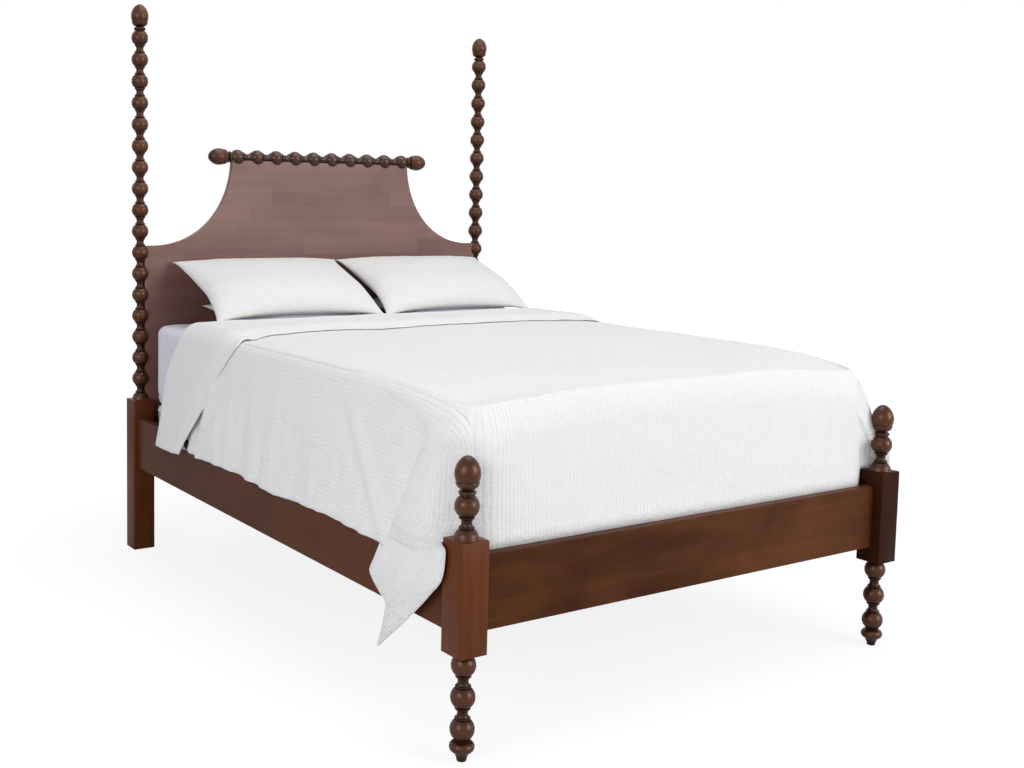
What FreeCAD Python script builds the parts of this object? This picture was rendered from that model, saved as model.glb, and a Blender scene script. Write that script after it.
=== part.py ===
import FreeCAD, Part
import math
import os
from FreeCAD import Vector

# Spindle bed: four bobbin-turned posts, a shaped headboard panel under a bobbin rail, hook-on side
# rails, slats on ledgers with centre legs, and its bedding.
# Frame: millimetres, +X right as seen from the foot, +Y towards the head, +Z up, origin on the floor
# under the middle of the bed.

os.makedirs("parts", exist_ok=True)

# ---------------------------------------------------------------- driving dimensions
# a standard queen mattress; the bed is built round it
MATTRESS_W = 1524.0
MATTRESS_L = 2032.0
MATTRESS_H = 297.0
SIDE_ROOM = 16.0                # between mattress and side rail
END_ROOM = 7.0                  # between mattress and posts
JOINT_GAP = 0.3                 # between pieces that seat on each other but come apart
FIT = 0.2                       # radial room round a dowel, side room round a tenon

# posts
POST_SIDE = 82.0                # square block
POST_EASE = 4.0                 # eased long edges of the block
HEAD_BLOCK_TOP = 576.0
HEAD_BALLS = 17
FOOT_BLOCK_BOTTOM = 270.0
FOOT_BLOCK_TOP = 552.0
FOOT_BALLS = 1

# bobbin turning
BALL_R = 31.0
BALL_PITCH = 80.0
COLLAR_R = 18.5                 # small flat band on each side of a ball
COLLAR_H = 6.0
NECK_R = 12.0                   # thinnest place between two balls
RING_R = 22.0                   # bead that ends a string of balls
RING_H = 12.0
RING_SEAT = 2.0                 # plain band between the last ball and the bead

# acorn finial
FINIAL_LENGTH = 84.0
FINIAL_STEM_H = 2.0             # plain neck under the cup
FINIAL_R = 32.5                 # the nut at its widest
FINIAL_WIDE_Z = 41.0            # height of the widest place
FINIAL_TIP_R = 20.0             # rounding of the nut's top
FINIAL_CUP_R = 28.0
FINIAL_CUP_H = 20.0
FINIAL_RIM = 1.5                # step between cup and nut
DOWEL_R = 6.0
DOWEL_LENGTH = 28.0

# turned foot below the last ball of a foot post
LEG_PITCH = 80.0
LEG_BALLS = 3
BUN_R = 31.5
BUN_Z = 38.0
BUN_TOP_Z = 50.0
BUN_UNDER_R = 24.0
BUN_UNDER_Z = 24.0
TOE_R = 13.5
TOE_Z = 10.0
TOE_BASE_R = 12.0

# rails
RAIL_TOP = 508.0
RAIL_HEIGHT = 190.5
RAIL_EASE = 3.0
SIDE_RAIL_T = 32.0
SIDE_RAIL_SETBACK = 15.0        # from the posts' outer faces
FOOT_RAIL_T = 30.0
FOOT_RAIL_SETBACK = 31.0
HEAD_RAIL_T = 30.0
TENON_T = 14.0
TENON_HEIGHT = 140.0
TENON_LENGTH = 30.0

# headboard panel
PANEL_T = 25.0
PANEL_INTO_POST = 27.0          # how far the edge reaches into block and balls
PANEL_SHOULDER_Z = 1161.0
SHOULDER_FLAT_X = 738.0         # where the level shoulder ends and the sweep starts
SHOULDER_PULL = 224.0           # how long the sweep stays near the level
NECK_PULL = 154.0               # how long the sweep stays near the upright
PANEL_TOP_X = 407.5             # half width at the bobbin rail
PANEL_TONGUE_T = 10.0
PANEL_TONGUE_H = 12.0
GROOVE_END_ROOM = 3.0           # beyond the panel's top corners

# bobbin rail on top of the panel
TOP_RAIL_Z = 1506.5
TOP_BALLS = 10
TOP_BALL_PITCH = 85.0
TOP_BALL_R = 29.5

# bed rail fittings
PLATE_T = 3.0
RAIL_PLATE_W = 18.0
RAIL_PLATE_H = 120.0
POST_PLATE_W = 24.0
POST_PLATE_H = 132.0
HOOK_T = 4.0
HOOK_REACH = 12.0
HOOK_H = 18.0
HOOK_SPREAD = 72.0              # between the two hooks of a plate
HOOK_ROOM = 1.0                 # round a hook in its slot

# slats and centre legs
LEDGER_W = 25.0
LEDGER_H = 25.0
SLAT_T = 19.0
SLAT_W = 90.0
SLAT_COUNT = 5
SLAT_END_GAP = 3.0
SLAT_MARGIN = 110.0             # from the inner face of a post to the first slat's middle
LEG_SIDE = 45.0
LEG_EASE = 4.0
LEGGED_SLATS = (1, 2, 3)        # counted from the foot end, the first being 0
LEG_STEP = 320.0                # between legs, which stand back where the rails hide them
GLIDE_R = 16.0
GLIDE_PAD_H = 7.0
GLIDE_STEM_R = 5.0
GLIDE_STEM_LENGTH = 32.0
GLIDE_SHOW = 16.0               # pad and bare thread below the wood

# mattress, foundation, sheet
BED_CORNER = 100.0              # of mattress and foundation, seen from above
MATTRESS_EDGE = 30.0
FOUNDATION_H = 203.0
FOUNDATION_EDGE = 12.0
SHEET_T = 1.5
SHEET_TUCK = 18.0               # sheet stops this far above the mattress's underside

# duvet
DUVET_ROOM = 1.0                # between the sheet and the duvet
DUVET_TOP_T = 28.0
DUVET_SIDE_T = 24.0
DUVET_EDGE = 88.0               # rounding of the duvet over the mattress's edge
DUVET_HEAD_Y = 600.0            # folded edge next to the pillows
DUVET_RAKE = 155.0              # how much nearer the head that edge hangs at the hem
HEM_Z = 474.0
HEM_T = 13.0
HEM_WAVE = 9.0
DRAPE_TOP_Z = 640.0
DRAPE_BULGE = 27.0              # how far the drape stands off the rail just above it
FOOT_TUCK_Z = 482.0             # duvet's end, tucked behind the foot rail
FOLD_WIDTH = 300.0              # band that is folded back
FOLD_T = 22.0
FOLD_HEM_Z = 455.0
# hanging corner of the duvet: height, foot and head edge from the post's inner face, swell
FLAP = (
    (640.0, 70.0, 263.0, 6.0),
    (572.0, 14.0, 271.0, 18.0),
    (534.0, -30.0, 267.0, 20.0),
    (452.0, -13.0, 281.0, 20.0),
    (378.0, 61.0, 325.0, 22.0),
    (340.0, 97.0, 271.0, 18.0),
    (270.0, 185.0, 249.0, 14.0),
    (197.0, 259.0, 277.0, 8.0),
)
FLAP_CLEAR = 3.5                # between the corner and the post's outer face

# pillows
SLEEPER_L = 690.0
SLEEPER_W = 396.0
SLEEPER_RISE = 52.0             # above the seam
SLEEPER_SINK = 42.0             # below the seam
SLEEPER_TILT = 12.0
SLEEPER_HEAD_ROOM = 14.0        # between the pillow and the panel
PILLOW_SEAT = 0.7               # slack under the lower pillow's seam
SHAM_L = 706.0
SHAM_W = 446.0
SHAM_RISE = 78.0
SHAM_SINK = 46.0
SHAM_TILT = 24.0                # degrees, head edge up
SHAM_SEAM_UP = 61.2             # of the foot edge's seam, above the sheet
SHAM_HEAD_ROOM = 26.0
PILLOW_EDGE = 9.0               # half thickness at a seam
# along a pillow: place, share of the crown, share of the width
PILLOW_SECTIONS = ((-0.5, 0.0, 1.0), (-0.4, 0.52, 0.965), (-0.2, 0.92, 0.945), (0.0, 1.0, 0.94),
                   (0.2, 0.92, 0.945), (0.4, 0.52, 0.965), (0.5, 0.0, 1.0))
PILLOW_MIDDLE_X = 357.0         # of each pillow, from the middle of the bed
PILLOW_SHIFT = 40.0             # the pair lies this far to the right

# ---------------------------------------------------------------- derived places
HALF_W = MATTRESS_W / 2 + SIDE_ROOM + SIDE_RAIL_T + SIDE_RAIL_SETBACK    # over the post blocks
HALF_L = MATTRESS_L / 2 + END_ROOM + POST_SIDE
POST_X = HALF_W - POST_SIDE / 2
POST_Y = HALF_L - POST_SIDE / 2
POST_IN_X = HALF_W - POST_SIDE
POST_IN_Y = HALF_L - POST_SIDE
BALL_CUT = math.sqrt(BALL_R ** 2 - COLLAR_R ** 2)
HEAD_LAST_BALL = HEAD_BLOCK_TOP + HEAD_BALLS * BALL_PITCH
FOOT_LAST_BALL = FOOT_BLOCK_TOP + FOOT_BALLS * BALL_PITCH
STRING_END = BALL_CUT + RING_SEAT + RING_H      # from the last ball's centre to the bead's end
RAIL_BOTTOM = RAIL_TOP - RAIL_HEIGHT
RAIL_MIDDLE_Z = RAIL_TOP - RAIL_HEIGHT / 2
SIDE_RAIL_OUT = HALF_W - SIDE_RAIL_SETBACK
SIDE_RAIL_IN = SIDE_RAIL_OUT - SIDE_RAIL_T
FOOT_RAIL_Y = -HALF_L + FOOT_RAIL_SETBACK
PANEL_FACE_Y = POST_Y - PANEL_T / 2
PANEL_EDGE_X = POST_IN_X + PANEL_INTO_POST
PANEL_TOP_Z = TOP_RAIL_Z - NECK_R - 1.0
LEDGER_TOP = RAIL_BOTTOM + LEDGER_H
SLAT_TOP = LEDGER_TOP + SLAT_T
FOUNDATION_TOP = SLAT_TOP + FOUNDATION_H
MATTRESS_BOTTOM = FOUNDATION_TOP + JOINT_GAP
MATTRESS_TOP = MATTRESS_BOTTOM + MATTRESS_H
SHEET_OUT = JOINT_GAP + SHEET_T
SHEET_TOP = MATTRESS_TOP + SHEET_OUT
DUVET_IN_X = MATTRESS_W / 2 + SHEET_OUT + DUVET_ROOM
DUVET_OUT_X = DUVET_IN_X + DUVET_SIDE_T
DUVET_IN_Y = MATTRESS_L / 2 + SHEET_OUT + DUVET_ROOM
DUVET_OUT_Y = DUVET_IN_Y + DUVET_SIDE_T
DUVET_IN_Z = SHEET_TOP + DUVET_ROOM
DUVET_OUT_Z = DUVET_IN_Z + DUVET_TOP_T
DRAPE_IN_X = SIDE_RAIL_OUT + 3.0                # clear of the rail's outer face
RAIL_CLEAR_Z = RAIL_TOP + 4.0                   # the drape passes this high over the rail

SIDES = (("left", -1), ("right", 1))


# ---------------------------------------------------------------- helpers
def line(a, b):
    return Part.makeLine(a, b)


def box(x0, x1, y0, y1, z0, z1):
    return Part.makeBox(x1 - x0, y1 - y0, z1 - z0, Vector(x0, y0, z0))


def mirrored(shape):
    """The same piece on the other side of the bed."""
    return shape.mirror(Vector(0, 0, 0), Vector(1, 0, 0))


def on_side(shape, side):
    """A piece drawn for the right side, put on the side asked for."""
    return shape if side > 0 else mirrored(shape)


def eased(shape, radius, axis):
    """Round the straight edges that run along one axis (0, 1 or 2)."""
    picked = []
    for edge in shape.Edges:
        if len(edge.Vertexes) != 2 or not isinstance(edge.Curve, Part.Line):
            continue
        run = edge.Vertexes[1].Point - edge.Vertexes[0].Point
        if abs(abs(run[axis]) - run.Length) < 1e-6:
            picked.append(edge)
    return shape.makeFillet(radius, picked)


def save(node, shape):
    shape.exportStep("parts/" + node + ".step")
    print(node, len(shape.Solids), round(shape.Volume / 1000.0, 1))


class Turning:
    """Half outline of a turned piece, drawn upwards from the axis and spun about Z."""

    def __init__(self, z, r):
        self.start = Vector(0, 0, z)
        self.here = Vector(r, 0, z)
        self.edges = [line(self.start, self.here)]

    def to(self, r, z):
        there = Vector(r, 0, z)
        self.edges.append(line(self.here, there))
        self.here = there

    def up(self, z):
        self.to(self.here.x, z)

    def ball(self, centre, radius, top_r, half=1):
        """Follow a ball about the axis up to radius top_r, past its middle (half 1) or short of it (-1)."""
        top = Vector(top_r, 0, centre + half * math.sqrt(radius ** 2 - top_r ** 2))
        low = math.atan2(self.here.z - centre, self.here.x)
        high = math.atan2(top.z - centre, top.x)
        mid = (low + high) / 2
        between = Vector(radius * math.cos(mid), 0, centre + radius * math.sin(mid))
        self.edges.append(Part.Arc(self.here, between, top).toShape())
        self.here = top

    def arc(self, r, z, through_r, through_z):
        there = Vector(r, 0, z)
        self.edges.append(Part.Arc(self.here, Vector(through_r, 0, through_z), there).toShape())
        self.here = there

    def neck_to(self, ball_centre, radius, thin_r):
        """Collar, V-shaped neck and collar, up to the underside of the next ball."""
        bottom = ball_centre - math.sqrt(radius ** 2 - self.here.x ** 2)
        wide_r = self.here.x
        middle = (self.here.z + bottom) / 2
        self.up(self.here.z + COLLAR_H)
        self.to(thin_r, middle)
        self.to(wide_r, bottom - COLLAR_H)
        self.up(bottom)

    def bead(self, radius, height):
        """Rounded bead, standing on the piece at this height."""
        self.arc(self.here.x, self.here.z + height, radius, self.here.z + height / 2)

    def solid(self):
        end = Vector(0, 0, self.here.z)
        if self.here.x > 0:
            self.edges.append(line(self.here, end))
        self.edges.append(line(end, self.start))
        face = Part.Face(Part.Wire(self.edges))
        return face.revolve(Vector(0, 0, 0), Vector(0, 0, 1), 360)


def string_of_balls(turning, first, count, pitch, radius):
    """Balls and necks one after another, the turning standing at the first ball's underside."""
    for index in range(count):
        centre = first + index * pitch
        if index:
            turning.neck_to(centre, radius, NECK_R)
        turning.ball(centre, radius, COLLAR_R)


def ring_end(turning):
    """Plain band and bead above the last ball."""
    turning.up(turning.here.z + RING_SEAT)
    turning.bead(RING_R, RING_H)


# ---------------------------------------------------------------- turned pieces
def block(z0, z1):
    half = POST_SIDE / 2
    return eased(box(-half, half, -half, half, z0, z1), POST_EASE, 2)


def dowel_hole(z):
    return Part.makeCylinder(DOWEL_R + FIT, DOWEL_LENGTH + 2.0, Vector(0, 0, z), Vector(0, 0, -1))


def head_post():
    """Square block on the floor, then a dome and a string of balls ending in a bead."""
    turning = Turning(HEAD_BLOCK_TOP - 2.0, BALL_R)
    turning.up(HEAD_BLOCK_TOP)
    turning.ball(HEAD_BLOCK_TOP, BALL_R, COLLAR_R)
    for index in range(HEAD_BALLS):
        centre = HEAD_BLOCK_TOP + (index + 1) * BALL_PITCH
        turning.neck_to(centre, BALL_R, NECK_R)
        turning.ball(centre, BALL_R, COLLAR_R)
    ring_end(turning)
    return block(0, HEAD_BLOCK_TOP).fuse(turning.solid()).cut(dowel_hole(HEAD_LAST_BALL + STRING_END))


def foot_leg():
    """Bun foot and balls under a foot post's block."""
    top_ball = FOOT_BLOCK_BOTTOM - LEG_PITCH * 0.375
    lowest = top_ball - (LEG_BALLS - 1) * LEG_PITCH
    turning = Turning(0, TOE_BASE_R)
    turning.to(TOE_R, TOE_Z)
    turning.arc(BUN_UNDER_R, BUN_UNDER_Z, TOE_R + 3.0, (TOE_Z + BUN_UNDER_Z) / 2 + 2.0)
    turning.arc(COLLAR_R, BUN_TOP_Z, BUN_R, BUN_Z)
    turning.up(lowest - BALL_CUT)
    string_of_balls(turning, lowest, LEG_BALLS, LEG_PITCH, BALL_R)
    turning.up(FOOT_BLOCK_BOTTOM + 2.0)
    return turning.solid()


def foot_post():
    """Turned leg, square block, dome, one ball and a bead."""
    turning = Turning(FOOT_BLOCK_TOP - 2.0, BALL_R)
    turning.up(FOOT_BLOCK_TOP)
    turning.ball(FOOT_BLOCK_TOP, BALL_R, COLLAR_R)
    for index in range(FOOT_BALLS):
        centre = FOOT_BLOCK_TOP + (index + 1) * BALL_PITCH
        turning.neck_to(centre, BALL_R, NECK_R)
        turning.ball(centre, BALL_R, COLLAR_R)
    ring_end(turning)
    post = block(FOOT_BLOCK_BOTTOM, FOOT_BLOCK_TOP).fuse([turning.solid(), foot_leg()])
    return post.cut(dowel_hole(FOOT_LAST_BALL + STRING_END))


def finial():
    """Acorn on its dowel, standing on the origin."""
    turning = Turning(-DOWEL_LENGTH, DOWEL_R)
    turning.up(0)
    turning.to(NECK_R, 0)
    turning.up(FINIAL_STEM_H)
    cup_z = FINIAL_STEM_H + math.sqrt(FINIAL_CUP_R ** 2 - NECK_R ** 2)
    turning.ball(cup_z, FINIAL_CUP_R, math.sqrt(FINIAL_CUP_R ** 2 - (cup_z - FINIAL_CUP_H) ** 2), -1)
    nut_low = FINIAL_CUP_H + FINIAL_RIM
    turning.to(math.sqrt(FINIAL_R ** 2 - (FINIAL_WIDE_Z - nut_low) ** 2), nut_low)
    # the nut is one ball below and a smaller one on top, joined by the cone that touches both
    tip_z = FINIAL_LENGTH - FINIAL_TIP_R
    slope = math.asin((FINIAL_R - FINIAL_TIP_R) / (tip_z - FINIAL_WIDE_Z))
    turning.ball(FINIAL_WIDE_Z, FINIAL_R, FINIAL_R * math.cos(slope))
    turning.to(FINIAL_TIP_R * math.cos(slope), tip_z + FINIAL_TIP_R * math.sin(slope))
    turning.ball(tip_z, FINIAL_TIP_R, 0.0)
    return turning.solid()


def at_post(shape, side, end):
    return shape.translated(Vector(side * POST_X, end * POST_Y, 0))


FINIAL = finial()


def finial_on(z):
    return FINIAL.translated(Vector(0, 0, z))


# ---------------------------------------------------------------- bed rail fittings
def hook_heights():
    return (RAIL_MIDDLE_Z - HOOK_SPREAD / 2, RAIL_MIDDLE_Z + HOOK_SPREAD / 2)


RAIL_X = SIDE_RAIL_OUT - SIDE_RAIL_T / 2


def rail_plate(end):
    """Plate let into a side rail's end, with two hooks that reach into the post."""
    y_face = end * POST_IN_Y
    y_in = y_face - end * PLATE_T
    half = RAIL_PLATE_W / 2
    plate = box(RAIL_X - half, RAIL_X + half, min(y_in, y_face), max(y_in, y_face),
                RAIL_MIDDLE_Z - RAIL_PLATE_H / 2, RAIL_MIDDLE_Z + RAIL_PLATE_H / 2)
    y_tip = y_face + end * HOOK_REACH
    for z in hook_heights():
        hook = box(RAIL_X - HOOK_T / 2, RAIL_X + HOOK_T / 2, min(y_in, y_tip), max(y_in, y_tip),
                   z - HOOK_H / 2, z + HOOK_H / 2)
        plate = plate.fuse(hook)
    return plate.removeSplitter()


def rail_plate_seat(end):
    y_face = end * POST_IN_Y
    y_in = y_face - end * PLATE_T
    half = RAIL_PLATE_W / 2
    return box(RAIL_X - half, RAIL_X + half, min(y_in, y_face), max(y_in, y_face),
               RAIL_MIDDLE_Z - RAIL_PLATE_H / 2, RAIL_MIDDLE_Z + RAIL_PLATE_H / 2)


def hook_slots(end, depth):
    """Room for the hooks, from the post's face inwards."""
    y_face = end * POST_IN_Y
    y_deep = y_face + end * depth
    slots = []
    for z in hook_heights():
        slots.append(box(RAIL_X - HOOK_T / 2 - HOOK_ROOM, RAIL_X + HOOK_T / 2 + HOOK_ROOM,
                         min(y_face, y_deep), max(y_face, y_deep),
                         z - HOOK_H / 2 - HOOK_ROOM, z + HOOK_H / 2 + HOOK_ROOM))
    return slots


def post_plate_seat(end):
    y_face = end * POST_IN_Y
    y_deep = y_face + end * PLATE_T
    half = POST_PLATE_W / 2
    return box(RAIL_X - half, RAIL_X + half, min(y_face, y_deep), max(y_face, y_deep),
               RAIL_MIDDLE_Z - POST_PLATE_H / 2, RAIL_MIDDLE_Z + POST_PLATE_H / 2)


def post_plate(end):
    """Slotted plate let flush into the post's inner face."""
    return post_plate_seat(end).cut(hook_slots(end, PLATE_T))


def fitting_cuts(end):
    """What the fittings take out of a right-hand post that stands in place."""
    return [post_plate_seat(end)] + hook_slots(end, HOOK_REACH + HOOK_ROOM)


# ---------------------------------------------------------------- posts in place
def tenon(y, room):
    """Right-hand tenon of a cross rail whose middle plane is y."""
    half = TENON_T / 2 + room
    tall = TENON_HEIGHT / 2 + room
    return box(POST_IN_X - 1.0, POST_IN_X + TENON_LENGTH + 2 * room, y - half, y + half,
               RAIL_MIDDLE_Z - tall, RAIL_MIDDLE_Z + tall)


FOOT_RAIL_MIDDLE_Y = FOOT_RAIL_Y + FOOT_RAIL_T / 2
HEAD_BODY = head_post()
FOOT_BODY = foot_post()

for side_name, side in SIDES:
    slot_half = PANEL_T / 2 + FIT
    panel_slot = box(POST_IN_X - 10.0, PANEL_EDGE_X + FIT, POST_Y - slot_half, POST_Y + slot_half,
                     RAIL_TOP, PANEL_SHOULDER_Z + FIT)
    post = at_post(HEAD_BODY, 1, 1).cut([panel_slot, tenon(POST_Y, FIT)] + fitting_cuts(1))
    save("head_post_" + side_name, on_side(post, side))
    post = at_post(FOOT_BODY, 1, -1).cut([tenon(FOOT_RAIL_MIDDLE_Y, FIT)] + fitting_cuts(-1))
    save("foot_post_" + side_name, on_side(post, side))

on_head = finial_on(HEAD_LAST_BALL + STRING_END)
on_foot = finial_on(FOOT_LAST_BALL + STRING_END)
save("head_finials", Part.makeCompound([at_post(on_head, side, 1) for _, side in SIDES]))
save("foot_finials", Part.makeCompound([at_post(on_foot, side, -1) for _, side in SIDES]))


# ---------------------------------------------------------------- headboard
def panel():
    """Edge-glued boards with level shoulders that sweep up to the bobbin rail."""
    y = PANEL_FACE_Y
    right = Part.BezierCurve()
    poles = ((SHOULDER_FLAT_X, PANEL_SHOULDER_Z), (SHOULDER_FLAT_X - SHOULDER_PULL, PANEL_SHOULDER_Z),
             (PANEL_TOP_X + 2.0, PANEL_TOP_Z - NECK_PULL), (PANEL_TOP_X, PANEL_TOP_Z))
    right.setPoles([Vector(x, y, z) for x, z in poles])
    left = Part.BezierCurve()
    left.setPoles([Vector(-x, y, z) for x, z in reversed(poles)])
    corner = [Vector(PANEL_EDGE_X, y, RAIL_TOP), Vector(PANEL_EDGE_X, y, PANEL_SHOULDER_Z),
              Vector(SHOULDER_FLAT_X, y, PANEL_SHOULDER_Z)]
    other = [Vector(-p.x, p.y, p.z) for p in corner]
    edges = [line(other[0], corner[0]), line(corner[0], corner[1]), line(corner[1], corner[2]),
             right.toShape(), line(Vector(PANEL_TOP_X, y, PANEL_TOP_Z), Vector(-PANEL_TOP_X, y, PANEL_TOP_Z)),
             left.toShape(), line(other[2], other[1]), line(other[1], other[0])]
    board = Part.Face(Part.Wire(edges)).extrude(Vector(0, PANEL_T, 0))
    half = PANEL_TONGUE_T / 2
    tongue = box(-POST_IN_X, POST_IN_X, POST_Y - half, POST_Y + half, RAIL_TOP - PANEL_TONGUE_H, RAIL_TOP + 1.0)
    return board.fuse(tongue).removeSplitter()


def cross_rail(y, thickness):
    """Rail between two posts with a tenon at each end."""
    half = thickness / 2
    rail = box(-POST_IN_X, POST_IN_X, y - half, y + half, RAIL_BOTTOM, RAIL_TOP)
    rail = eased(rail, RAIL_EASE, 0)
    right = tenon(y, 0)
    return rail.fuse([right, mirrored(right)])


def head_rail():
    half = PANEL_TONGUE_T / 2 + FIT
    groove = box(-POST_IN_X, POST_IN_X, POST_Y - half, POST_Y + half,
                 RAIL_TOP - PANEL_TONGUE_H - FIT, RAIL_TOP + 1.0)
    return cross_rail(POST_Y, HEAD_RAIL_T).cut(groove)


def top_rail():
    """String of balls lying along X, grooved underneath for the panel's top edge."""
    last = (TOP_BALLS - 1) * TOP_BALL_PITCH / 2
    cut = math.sqrt(TOP_BALL_R ** 2 - COLLAR_R ** 2)
    turning = Turning(-last - cut - 2 * RING_SEAT - RING_H, COLLAR_R)
    turning.bead(RING_R, RING_H)
    turning.up(-last - cut)
    string_of_balls(turning, -last, TOP_BALLS, TOP_BALL_PITCH, TOP_BALL_R)
    turning.up(turning.here.z + 2 * RING_SEAT)
    turning.bead(RING_R, RING_H)
    end = turning.here.z
    rail = turning.solid()
    hole = dowel_hole(end)
    rail = rail.cut([hole, hole.mirror(Vector(0, 0, 0), Vector(0, 0, 1))])
    rail.rotate(Vector(0, 0, 0), Vector(0, 1, 0), 90)
    rail = rail.translated(Vector(0, POST_Y, TOP_RAIL_Z))
    half = PANEL_T / 2 + FIT
    reach = PANEL_TOP_X + GROOVE_END_ROOM
    groove = box(-reach, reach, POST_Y - half, POST_Y + half,
                 TOP_RAIL_Z - 2 * TOP_BALL_R, PANEL_TOP_Z)
    return rail.cut(groove), end


save("headboard_panel", panel())
save("headboard_rail", head_rail())
top_bobbins, top_end = top_rail()
save("top_bobbin_rail", top_bobbins)
tip = FINIAL.copy()
tip.rotate(Vector(0, 0, 0), Vector(0, 1, 0), 90)
tip = tip.translated(Vector(top_end, POST_Y, TOP_RAIL_Z))
save("top_rail_finials", Part.makeCompound([tip, mirrored(tip)]))

# ---------------------------------------------------------------- foot rail and side rails
save("foot_rail", cross_rail(FOOT_RAIL_MIDDLE_Y, FOOT_RAIL_T))


def side_rail():
    rail = box(SIDE_RAIL_IN, SIDE_RAIL_OUT, -POST_IN_Y, POST_IN_Y, RAIL_BOTTOM, RAIL_TOP)
    return eased(rail, RAIL_EASE, 1).cut([rail_plate_seat(1), rail_plate_seat(-1)])


def ledger():
    reach = POST_IN_Y - 2.0
    return box(SIDE_RAIL_IN - LEDGER_W, SIDE_RAIL_IN, -reach, reach, RAIL_BOTTOM, LEDGER_TOP)


for side_name, side in SIDES:
    save("side_rail_" + side_name, on_side(side_rail(), side))
    save("ledger_" + side_name, on_side(ledger(), side))

rail_plates = [rail_plate(1), rail_plate(-1)]
post_plates = [post_plate(1), post_plate(-1)]
save("rail_hook_plates", Part.makeCompound(rail_plates + [mirrored(s) for s in rail_plates]))
save("post_slot_plates", Part.makeCompound(post_plates + [mirrored(s) for s in post_plates]))


# ---------------------------------------------------------------- slats and centre legs
def slat_y(index):
    """Middle of a slat: the end ones near the posts, the others a leg's step apart."""
    place = index - (SLAT_COUNT - 1) / 2
    if index in (0, SLAT_COUNT - 1):
        return math.copysign(POST_IN_Y - SLAT_MARGIN, place)
    return place * LEG_STEP


def slat(y):
    reach = SIDE_RAIL_IN - SLAT_END_GAP
    board = box(-reach, reach, y - SLAT_W / 2, y + SLAT_W / 2, LEDGER_TOP, SLAT_TOP)
    return eased(board, 2.0, 0)


def support_leg(y):
    """Square leg under a slat, bored from below for the glide's stem."""
    half = LEG_SIDE / 2
    leg = eased(box(-half, half, y - half, y + half, GLIDE_SHOW, LEDGER_TOP), LEG_EASE, 2)
    bore = Part.makeCylinder(GLIDE_STEM_R + FIT, GLIDE_STEM_LENGTH + 16.0, Vector(0, y, GLIDE_SHOW))
    return leg.cut(bore)


def glide(y):
    """Levelling foot: a round pad on a stem that turns in the leg."""
    pad = Part.makeCone(GLIDE_R, GLIDE_R - 3.0, GLIDE_PAD_H, Vector(0, y, 0))
    stem = Part.makeCylinder(GLIDE_STEM_R, GLIDE_SHOW - GLIDE_PAD_H + GLIDE_STEM_LENGTH, Vector(0, y, GLIDE_PAD_H))
    return pad.fuse(stem)


for number in range(SLAT_COUNT):
    save("slat_%d" % (number + 1), slat(slat_y(number)))
for number, index in enumerate(LEGGED_SLATS):
    save("support_leg_%d" % (number + 1), support_leg(slat_y(index)))
    save("leveling_glide_%d" % (number + 1), glide(slat_y(index)))


# ---------------------------------------------------------------- foundation, mattress, sheet
def pad(half_x, half_y, z0, z1, corner, top_edge, bottom_edge=0):
    """Box with round corners in plan and rounded rims."""
    shape = eased(box(-half_x, half_x, -half_y, half_y, z0, z1), corner, 2)
    for z, radius in ((z1, top_edge), (z0, bottom_edge)):
        if radius:
            rim = [e for e in shape.Edges if abs(e.BoundBox.ZMin - z) < 1e-6 and abs(e.BoundBox.ZMax - z) < 1e-6]
            shape = shape.makeFillet(radius, rim)
    return shape


save("foundation", pad(MATTRESS_W / 2, MATTRESS_L / 2, SLAT_TOP, FOUNDATION_TOP, BED_CORNER,
                       FOUNDATION_EDGE, FOUNDATION_EDGE))
save("mattress", pad(MATTRESS_W / 2, MATTRESS_L / 2, MATTRESS_BOTTOM, MATTRESS_TOP, BED_CORNER,
                     MATTRESS_EDGE, MATTRESS_EDGE))


def sheet():
    """Fitted sheet: a thin skin over the mattress's top and sides."""
    def skin(out):
        return pad(MATTRESS_W / 2 + out, MATTRESS_L / 2 + out, MATTRESS_BOTTOM - out, MATTRESS_TOP + out,
                   BED_CORNER + out, MATTRESS_EDGE + out, MATTRESS_EDGE + out)
    keep = box(-HALF_W, HALF_W, -HALF_L, HALF_L, MATTRESS_BOTTOM + MATTRESS_EDGE + SHEET_TUCK, SHEET_TOP + 1.0)
    return skin(SHEET_OUT).cut(skin(JOINT_GAP)).common(keep)


save("fitted_sheet", sheet())


# ---------------------------------------------------------------- duvet
def bed_room():
    """Room inside the duvet for the mattress in its sheet."""
    rim = SHEET_OUT + DUVET_ROOM
    return pad(DUVET_IN_X, DUVET_IN_Y, FOOT_TUCK_Z - 1.0, DUVET_IN_Z, BED_CORNER + rim, MATTRESS_EDGE + rim)


def duvet_cover():
    """The part that lies on the mattress and wraps its sides and foot, still filled inside."""
    low = RAIL_TOP + 32.0
    corner = BED_CORNER + DUVET_SIDE_T
    cover = pad(DUVET_OUT_X, DUVET_OUT_Y, FOOT_TUCK_Z, DUVET_OUT_Z, corner, DUVET_EDGE)
    head = box(-HALF_W, HALF_W, DUVET_HEAD_Y + DUVET_RAKE, HALF_L, FOOT_TUCK_Z - 1.0, DUVET_OUT_Z + 1.0)
    sides = box(-HALF_W, HALF_W, -POST_IN_Y + corner, HALF_L, FOOT_TUCK_Z - 1.0, low)
    beside_post = box(POST_IN_X - 8.0, HALF_W, -HALF_L, HALF_L, FOOT_TUCK_Z - 1.0, low)
    return cover.cut([head, sides, beside_post, mirrored(beside_post)])


def section(points, y):
    return Part.makePolygon([Vector(x, y, z) for x, z in points + points[:1]])


def drape(points_at, stations):
    """Hanging cloth on the right side, lofted through its outlines at the stations."""
    return Part.makeLoft([section(points_at(y, k), y) for k, y in enumerate(stations)], True, True)


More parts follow.
